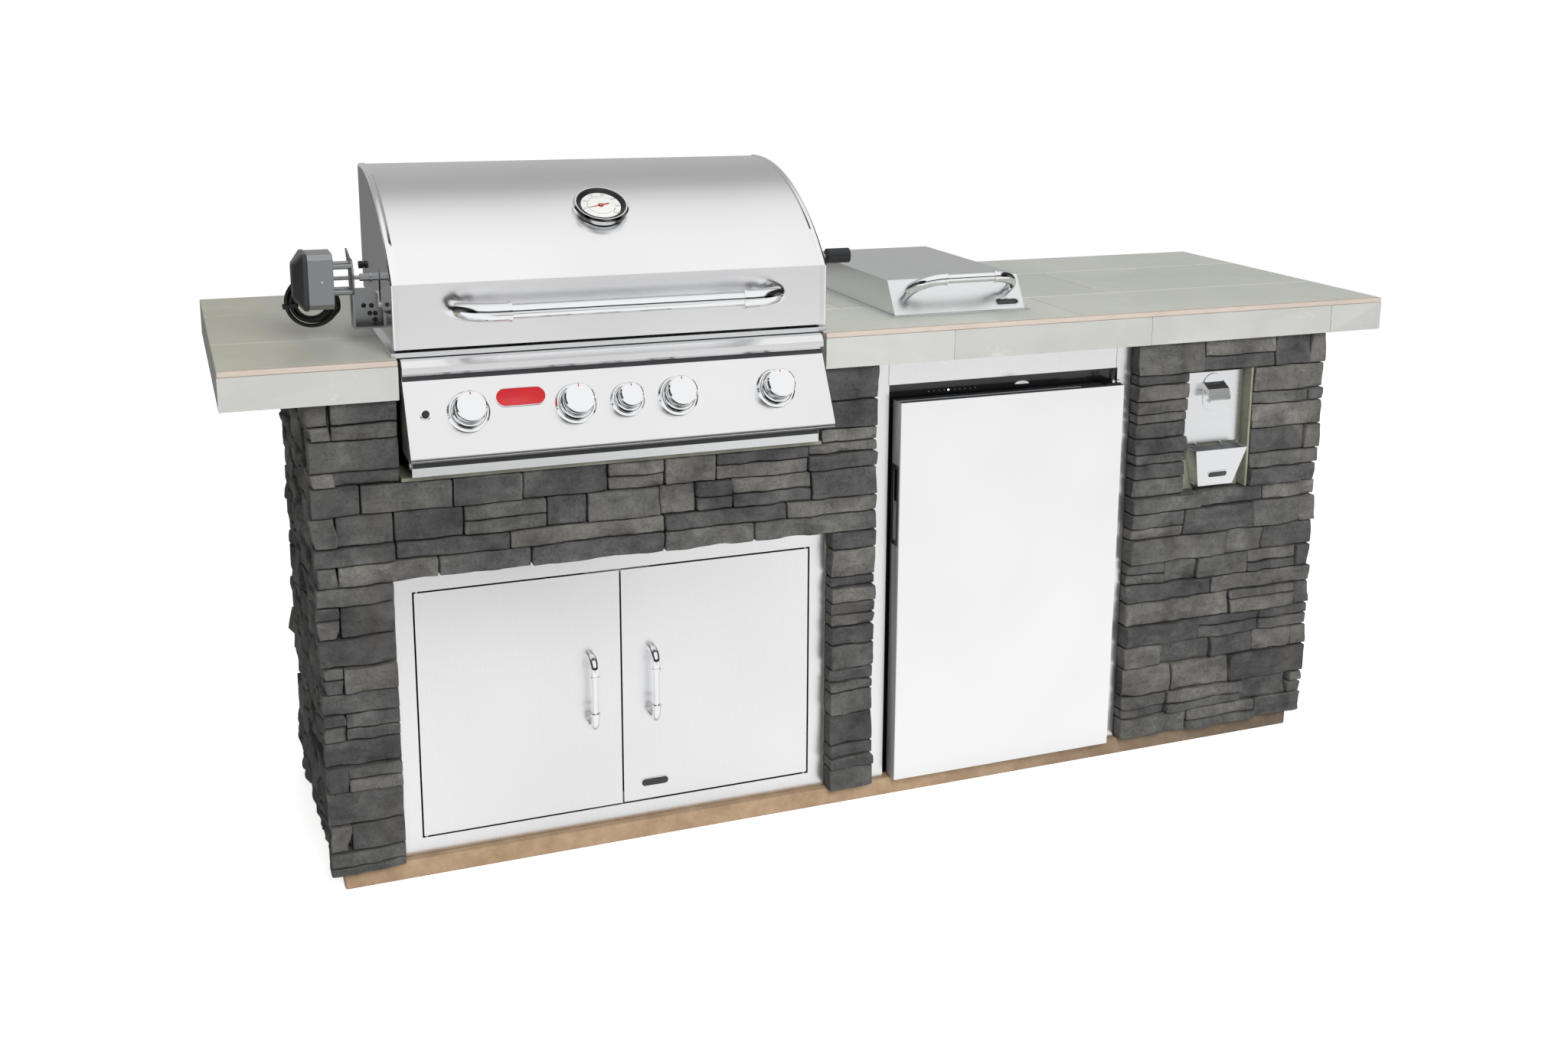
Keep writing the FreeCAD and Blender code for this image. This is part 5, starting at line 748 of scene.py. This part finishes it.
def print_scale():
    """A numbered arc of ticks, and a red mark beside its hot end."""
    bits = []
    for step in range(4 * SCALE_MAJORS + 1):
        angle = SCALE_START - step * SCALE_SWEEP / (4 * SCALE_MAJORS)
        major = step % 4 == 0
        long = 0.0042 if major else 0.0024
        half = 0.00038 if major else 0.00022
        block((-long / 2, -half, 0), (long / 2, half, PRINT_HEIGHT))
        stand(on_dial(angle, TICK_FOOT + long / 2, INK), UP, on_dial(angle, 1, 0))
        bits.append(bpy.context.object)
    for step in range(SCALE_MAJORS + 1):
        angle = SCALE_START - step * SCALE_SWEEP / SCALE_MAJORS
        bpy.ops.object.text_add(location=(0, 0, 0))
        number = bpy.context.object.data
        number.body = str(50 * (step + 1))
        number.size = 0.0050
        number.align_x = "CENTER"
        number.align_y = "CENTER"
        number.extrude = PRINT_HEIGHT / 2
        bpy.ops.object.convert(target="MESH")
        stand(on_dial(angle, NUMBER_RADIUS, INK))
        bits.append(bpy.context.object)
    # The arc under the ticks is one thin section, spun round.
    block((0.0234, -0.00008, INK), (TICK_FOOT, 0.00008, INK + PRINT_HEIGHT))
    freeze()
    bpy.ops.object.mode_set(mode="EDIT")
    pick(lambda face: face.normal.y > 0.9)
    bpy.ops.mesh.spin(steps=60, angle=-math.radians(SCALE_SWEEP), center=(0, 0, 0), axis=(0, 0, -1))
    bpy.ops.object.mode_set(mode="OBJECT")
    arc = bpy.context.object
    arc.rotation_euler = (0, 0, math.radians(SCALE_START - SCALE_SWEEP))
    freeze()
    bits.append(arc)
    join(bits)
    stand(DIAL_SPOT, DIAL_OUT)
    settle("dial_scale", "hood", DIAL_GREY, None)
    block((-0.0028, -0.0008, 0), (0.0028, 0.0008, 0.00014))
    freeze()
    ease(0.0003)
    stand(on_dial(-31, 0.0252, INK), UP, on_dial(59, 1, 0))
    stand(DIAL_SPOT, DIAL_OUT)
    settle("dial_hot_mark", "hood", DIAL_RED, None)


def make_needle():
    """A red needle on a brass boss, thick behind its hub and thin towards its tip."""
    turn_up([(0.0050, 0.01142), (0.0050, 0.0121), (0.0044, 0.0124)], 32)
    hub = bpy.context.object
    block((-0.0160, -0.0013, 0.0117), (0.0, 0.0013, 0.0124))
    freeze()
    bpy.ops.object.mode_set(mode="EDIT")
    pick(lambda face: face.normal.x > 0.9)
    for reach, narrow in ((0.004, 0.8), (0.0195, 0.34)):
        bpy.ops.mesh.extrude_region_move(TRANSFORM_OT_translate={"value": (reach, 0, 0)})
        bpy.ops.transform.resize(value=(1, narrow, 1), center_override=(0, 0, 0.012))
    bpy.ops.object.mode_set(mode="OBJECT")
    ease(0.00015, 1)
    blade = bpy.context.object
    blade.rotation_euler = (0, 0, math.radians(SCALE_START))
    freeze()
    join([hub, blade])
    stand(DIAL_SPOT, DIAL_OUT)
    needle = settle("dial_needle", "needle", DIAL_RED, 35)
    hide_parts("thermometer_needle")
    turned_piece("needle_boss", "needle", [(0.0021, 0.0122), (0.0021, 0.0130), (0.0012, 0.0134)],
                 24, DIAL_SPOT, DIAL_OUT, BRASS)


make_dial()
print_scale()
make_needle()


# ------------------------------------------------------- knobs and blank plates
LARGE_KNOB, SMALL_KNOB = (0.026, 0.0205), (0.0205, 0.0152)
KNOBS = ((1, -0.27, LARGE_KNOB), (2, -0.09, LARGE_KNOB), (3, 0.0, SMALL_KNOB), (4, 0.09, LARGE_KNOB),
         (5, 0.27, LARGE_KNOB))
KNOB_FACE = 0.039
# Heights of the two black bands round each knob's skirt, painted reflections of the room's dark sides.
KNOB_REFLECTION_BANDS = ((0.0140, 0.0158), (0.0338, 0.0352))


def mark_knobs():
    """A red index line on each knob's face, two black bands round its skirt as painted reflections, and a black disc
    round its foot as painted shade in the well.
    """
    upward = PANEL_OUT.cross(RIGHT)
    for number, step, (radius, reach) in KNOBS:
        foot = PANEL_SPOT + RIGHT * step
        rings = []
        # Each band is a black ring, a painted reflection in the chrome.
        for low, high in KNOB_REFLECTION_BANDS:
            turn_up([(radius + 0.0001, low), (radius + 0.0001, high)], 48)
            rings.append(bpy.context.object)
        join(rings)
        stand(foot, PANEL_OUT)
        settle(f"knob_{number}_reflection_bands", f"knob_{number}", BLACK_PLASTIC, 35)
        # A black disc in the gap round the knob's foot is painted shade.
        turned_piece(f"knob_{number}_painted_well_shade", "island", [(radius + 0.0026, 0.0002), (radius + 0.0026, 0.0012)],
                     48, foot, PANEL_OUT, BLACK_PLASTIC)
        block((-0.0009, -0.0022, -0.0001), (0.0009, 0.0022, 0.0003))
        freeze()
        ease(0.0002)
        stand(foot + PANEL_OUT * KNOB_FACE + upward * reach, PANEL_OUT)
        settle(f"knob_{number}_index", f"knob_{number}", DIAL_RED, 35)


def plate(name, body, place, out, length, width, face, rise=0.0012):
    """A blank pill-shaped plate: a bright rim round a slightly sunk enamel face."""
    for title, inset, foot, top, finish, finish_slot in (
            ("rim", 0.0, -0.0004, rise, CHROME, "bright_chrome"),
            ("face", 0.0016, rise - 0.0006, rise + 0.0003, face, "dark_plastic")):
        clear()
        radius = width / 2 - inset
        bpy.ops.mesh.primitive_cylinder_add(vertices=40, radius=radius, depth=top - foot,
                                            location=(0, 0, (top + foot) / 2))
        freeze()
        bpy.ops.object.mode_set(mode="EDIT")
        for side in (-1, 1):
            pick(lambda corner: corner.co.x * side > 0.00001, "vertices")
            bpy.ops.transform.translate(value=(side * (length - width) / 2, 0, 0))
        bpy.ops.object.mode_set(mode="OBJECT")
        ease(0.0003, angle=60)
        stand(place, out)
        settle(f"{name}_{title}", body, finish, 35)


mark_knobs()
# A black strip under the panel's roll is painted shade, where the roll's lower half is in shadow; a black strip along
# the tray's top edge is a painted shadow of the gap under the panel's lip.
strip("roll_shade_strip", "island", (-0.8588, -0.3071, 0.9035), (-0.1182, -0.3030, 0.9100), CAP_PLASTIC)
# The black strip on the tray's top edge is a painted shadow of the gap above it.
strip("tray_shadow_strip", "drip_drawer", (-0.8500, -0.3146, 0.7560), (-0.1270, -0.3136, 0.7668), CAP_PLASTIC)
plate("panel_plate", "island", (-0.6692, -0.3258, 0.8683), PANEL_OUT, 0.086, 0.0335, RED_ENAMEL, 0.0020)
plate("right_door_plate", "right_door", (-0.4265, -0.2610, 0.1020), FRONT, 0.054, 0.017, BLACK_ENAMEL)
plate("catcher_plate", "island", (0.7637, -0.2913, 0.5900), (0, -0.978, -0.208), 0.048, 0.015, BLACK_ENAMEL)
plate("lid_plate", "side_lid", (0.3140, -0.1960, 0.9560), (0, -0.8465, 0.5325), 0.050, 0.015, BLACK_ENAMEL)


# ------------------------------------------------------------ screws and bolts
def button_head(radius):
    """A button-head screw with a round socket, modelled standing on the origin."""
    turn_up([(radius, -0.0005), (radius, 0.30 * radius), (0.86 * radius, 0.52 * radius),
             (0.5 * radius, 0.62 * radius), (0.44 * radius, 0.60 * radius), (0.40 * radius, 0.25 * radius)], 24)
    ease(0.05 * radius, angle=30)


def drive_screws(name, radius, face, spots, finish=CHROME):
    """Screws of one size on a front face, at (x, z) spots."""
    button_head(radius)
    set_out([((x, face, z), FRONT, RIGHT) for x, z in spots])
    settle(name, "island", finish, 40)


drive_screws("bracket_bolts", 0.0040, BRACKET_FACE,
             ((-0.8945, 1.0036), (-0.8818, 1.0029), (-0.8849, 0.9898), (-0.8760, 0.9893), (-0.8765, 0.9786)),
             BLACK_BOLT)
drive_screws("catcher_screws", 0.0034, OPENER_FACE, ((0.7243, 0.6518), (0.7852, 0.6497)))
drive_screws("motor_case_screw", 0.0020, MOTOR_FACE, ((-0.9659, 1.0556),))


# ----------------------------------------------------------------------- fridge
PULL_LOW, PULL_HIGH = (0.0440, -0.2860, 0.5220), (0.0605, -0.2700, 0.6640)
STRIP_X, STRIP_Z, STRIP_STEP = 0.1040, 0.8125, 0.0109


def dress_top_strip():
    """The black top strip's row of dots, display lamp, half-round lamp lens and bright lip."""
    dots = []
    for step in range(10):
        turn_up([(0.0009, -0.0004), (0.0009, 0.0003), (0.0006, 0.0004)], 14)
        stand((STRIP_X + STRIP_STEP * step, CABINET_FACE, STRIP_Z), FRONT)
        dots.append(bpy.context.object)
    join(dots)
    settle("display_dots", "island", DIAL_GREY, 35)
    turned_piece("display_lamp", "island", [(0.0018, -0.0004), (0.0018, 0.0004), (0.0013, 0.0006)],
                 18, (0.1452, CABINET_FACE, STRIP_Z), FRONT, GLOW)
    turn_up([(0.0155, -0.0004), (0.0150, 0.0010), (0.0120, 0.0020)], 48)
    bpy.ops.object.mode_set(mode="EDIT")
    bpy.ops.mesh.select_all(action="SELECT")
    bpy.ops.mesh.bisect(plane_co=(0, 0, 0), plane_no=(0, 1, 0), use_fill=True, clear_inner=True)
    bpy.ops.mesh.select_all(action="SELECT")
    bpy.ops.transform.resize(value=(1, 0.36, 1), center_override=(0, 0, 0))
    stand((0.3018, CABINET_FACE, 0.8130), FRONT)
    settle("cabinet_lamp_lens", "island", LINER, 35)
    strip("cabinet_lip", "island", (0.0400, -0.2922, 0.7965), (0.4330, -0.2900, 0.7985), DIAL_GREY, 0.0004)


def dress_fridge_door():
    """The door's edge is a grey moulding with a black finger pull sunk through it into the door."""
    take(bpy.data.objects["eased_fridge_door"])
    cut(PULL_LOW, PULL_HIGH)
    block((0.0464, -0.2858, 0.5222), (0.0603, -0.2702, 0.6638))
    freeze()
    bpy.ops.object.mode_set(mode="EDIT")
    pick(lambda face: face.normal.x < -0.9)
    bpy.ops.mesh.delete(type="FACE")
    use("SOLIDIFY", thickness=0.0006, offset=-1)
    settle("door_pull_lining", "fridge_leaf", RUBBER, 35)
    for name, low, high, finish in (
            ("door_edge_strip", (0.0453, -0.2968, 0.0400), (0.0463, -0.2612, 0.7940), EDGE_GREY),
            ("door_pull_frame", (0.0448, -0.2930, 0.5140), (0.0456, -0.2640, 0.6720), CAP_PLASTIC)):
        block(low, high)
        cut((0.0440, -0.2852, 0.5230), (0.0480, -0.2708, 0.6630))
        ease(0.0003)
        settle(name, "fridge_leaf", finish, 35)
    strip("door_top_strip", "fridge_leaf", (0.0465, -0.2950, 0.7946), (0.5265, -0.2612, 0.7958), CAP_PLASTIC)


def dress_fridge_trim():
    """Two screws at the door's hinge, and a fine seam at each upper corner of the trim."""
    drive_screws("hinge_screws", 0.0036, CABINET_FACE, ((0.5060, 0.8030), (0.5165, 0.8030)))
    seams = []
    for place in (0.0328, 0.5262):
        block((place - 0.0004, FRIDGE_TRIM_FACE - 0.0002, 0.8230),
              (place + 0.0004, FRIDGE_TRIM_FACE + 0.0002, 0.8680))
        seams.append(bpy.context.object)
    join(seams)
    settle("trim_seams", "island", DIAL_GREY, 35)


dress_top_strip()
dress_fridge_door()
dress_fridge_trim()


# ----------------------------------------------------------------------- light
def light_scene():
    """A white studio. Shiny surfaces see it white in front, grey behind, and dark at its sides and low in front."""
    world = bpy.data.worlds.new("studio")
    bpy.context.scene.world = world
    world.use_nodes = True
    tree = world.node_tree
    tree.nodes.clear()
    path = add(tree, "LightPath")
    way = add(tree, "SeparateXYZ", {"Vector": add(tree, "TexCoord").outputs["Generated"]})
    back = add(tree, "MapRange", {"Value": way.outputs["Y"]}, From_Min=-1.0, From_Max=1.0)
    room = ramp(tree, back.outputs["Result"], (0.0, "FFFFFF"), (0.5, "FAFAFA"), (0.66, "F0F0F0"), (0.74, "D8D8D8"),
                (0.81, "B0B0B0"), (0.88, "ACACAC"), (1.0, "BEBEBE"))
    level = add(tree, "MapRange", {"Value": way.outputs["Z"]}, From_Min=-1.0, From_Max=1.0)
    line = ramp(tree, level.outputs["Result"], (0.508, "FFFFFF"), (0.53, "161616"), (0.64, "303030"), (0.72, "FFFFFF"))
    ahead = add(tree, "MapRange", {"Value": way.outputs["Y"]}, From_Min=-0.25, From_Max=-0.45)
    room = tinted(tree, room, line, ahead.outputs["Result"])
    sides = add(tree, "Math", {0: way.outputs["X"]}, operation="ABSOLUTE")
    flank = ramp(tree, sides.outputs[0], (0.66, "FFFFFF"), (0.74, "2E2E2E"), (0.92, "2E2E2E"), (1.0, "707070"))
    room = tinted(tree, room, flank)
    shiny = add(tree, "Math", {0: path.outputs["Is Glossy Ray"], 1: path.outputs["Is Transmission Ray"]},
                operation="MAXIMUM")
    plain = add(tree, "Background", Color=(1, 1, 1, 1), Strength=0.25)
    mirror = add(tree, "Background", {"Color": room}, Strength=1.0)
    white = add(tree, "Background", Color=(1, 1, 1, 1), Strength=1.0)
    first = add(tree, "MixShader", {0: shiny.outputs[0], 1: plain.outputs[0], 2: mirror.outputs[0]})
    second = add(tree, "MixShader", {0: path.outputs["Is Camera Ray"], 1: first.outputs[0], 2: white.outputs[0]})
    add(tree, "OutputWorld", {"Surface": second.outputs[0]})
    for name, place, size, power in (("key_softbox", (-0.2, -4.4, 3.2), 2.4, 205),
                                     ("fill_softbox", (3.2, -3.0, 2.6), 2.6, 16),
                                     ("back_softbox", (0.5, 3.6, 3.4), 2.4, 50)):
        lamp = bpy.data.lights.new(name, "AREA")
        lamp.size = size
        lamp.energy = power
        softbox = bpy.data.objects.new(name, lamp)
        softbox.location = place
        aim = Vector((0, 0, 0.6)) - Vector(place)
        softbox.rotation_euler = aim.to_track_quat("-Z", "Y").to_euler()
        softbox.visible_glossy = False
        bpy.context.collection.objects.link(softbox)


def lay_floor():
    """White paper that keeps the island's shadow. Metal sees it in greys, as a floor in a studio."""
    clear()
    bpy.ops.mesh.primitive_plane_add(size=40, location=(0, 0, 0))
    floor = bpy.context.object
    floor.name = "floor"
    material = bpy.data.materials.new("white_paper")
    material.use_nodes = True
    tree = material.node_tree
    shader = tree.nodes["Principled BSDF"]
    shader.inputs["Base Color"].default_value = colour("F4F4F4")
    shader.inputs["Roughness"].default_value = 0.9
    shader.inputs["Emission Color"].default_value = (1, 1, 1, 1)
    path = add(tree, "LightPath")
    glow = add(tree, "MapRange", {"Value": path.outputs["Is Camera Ray"]}, To_Max=0.75)
    tree.links.new(glow.outputs["Result"], shader.inputs["Emission Strength"])
    # Metal sees a white sweep in front of the island, and the dim end of the room far in front and behind it.
    spot = add(tree, "TexCoord").outputs["Object"]
    place = add(tree, "SeparateXYZ", {"Vector": spot})
    run = add(tree, "MapRange", {"Value": place.outputs["Y"]}, From_Min=-8.0, From_Max=2.0)
    sweep = ramp(tree, run.outputs["Result"], (0.26, "D6D6D6"), (0.46, "FFFFFF"), (0.76, "FCFCFC"), (0.80, "767676"),
                 (0.90, "767676"))
    # A grey pool two metres in front shades the doors' upper part and the tray.
    pool = add(tree, "Mapping", {"Vector": spot}, Location=(0.45, 3.4, 0), Scale=(1.0, 1.6, 1.0))
    away = add(tree, "VectorMath", {0: pool.outputs["Vector"]}, operation="LENGTH")
    edge = add(tree, "MapRange", {"Value": away.outputs["Value"]}, From_Min=0.25, From_Max=1.05)
    sweep = tinted(tree, sweep, ramp(tree, edge.outputs["Result"], (0.0, "868686"), (1.0, "FFFFFF")))
    mirrored = add(tree, "Emission", {"Color": sweep}, Strength=1.0)
    both = add(tree, "MixShader", {0: path.outputs["Is Glossy Ray"], 1: shader.outputs["BSDF"],
                                   2: mirrored.outputs["Emission"]})
    tree.links.new(both.outputs["Shader"], tree.nodes["Material Output"].inputs["Surface"])
    floor.data.materials.append(material)


light_scene()
lay_floor()
bpy.context.scene.view_settings.view_transform = "Standard"
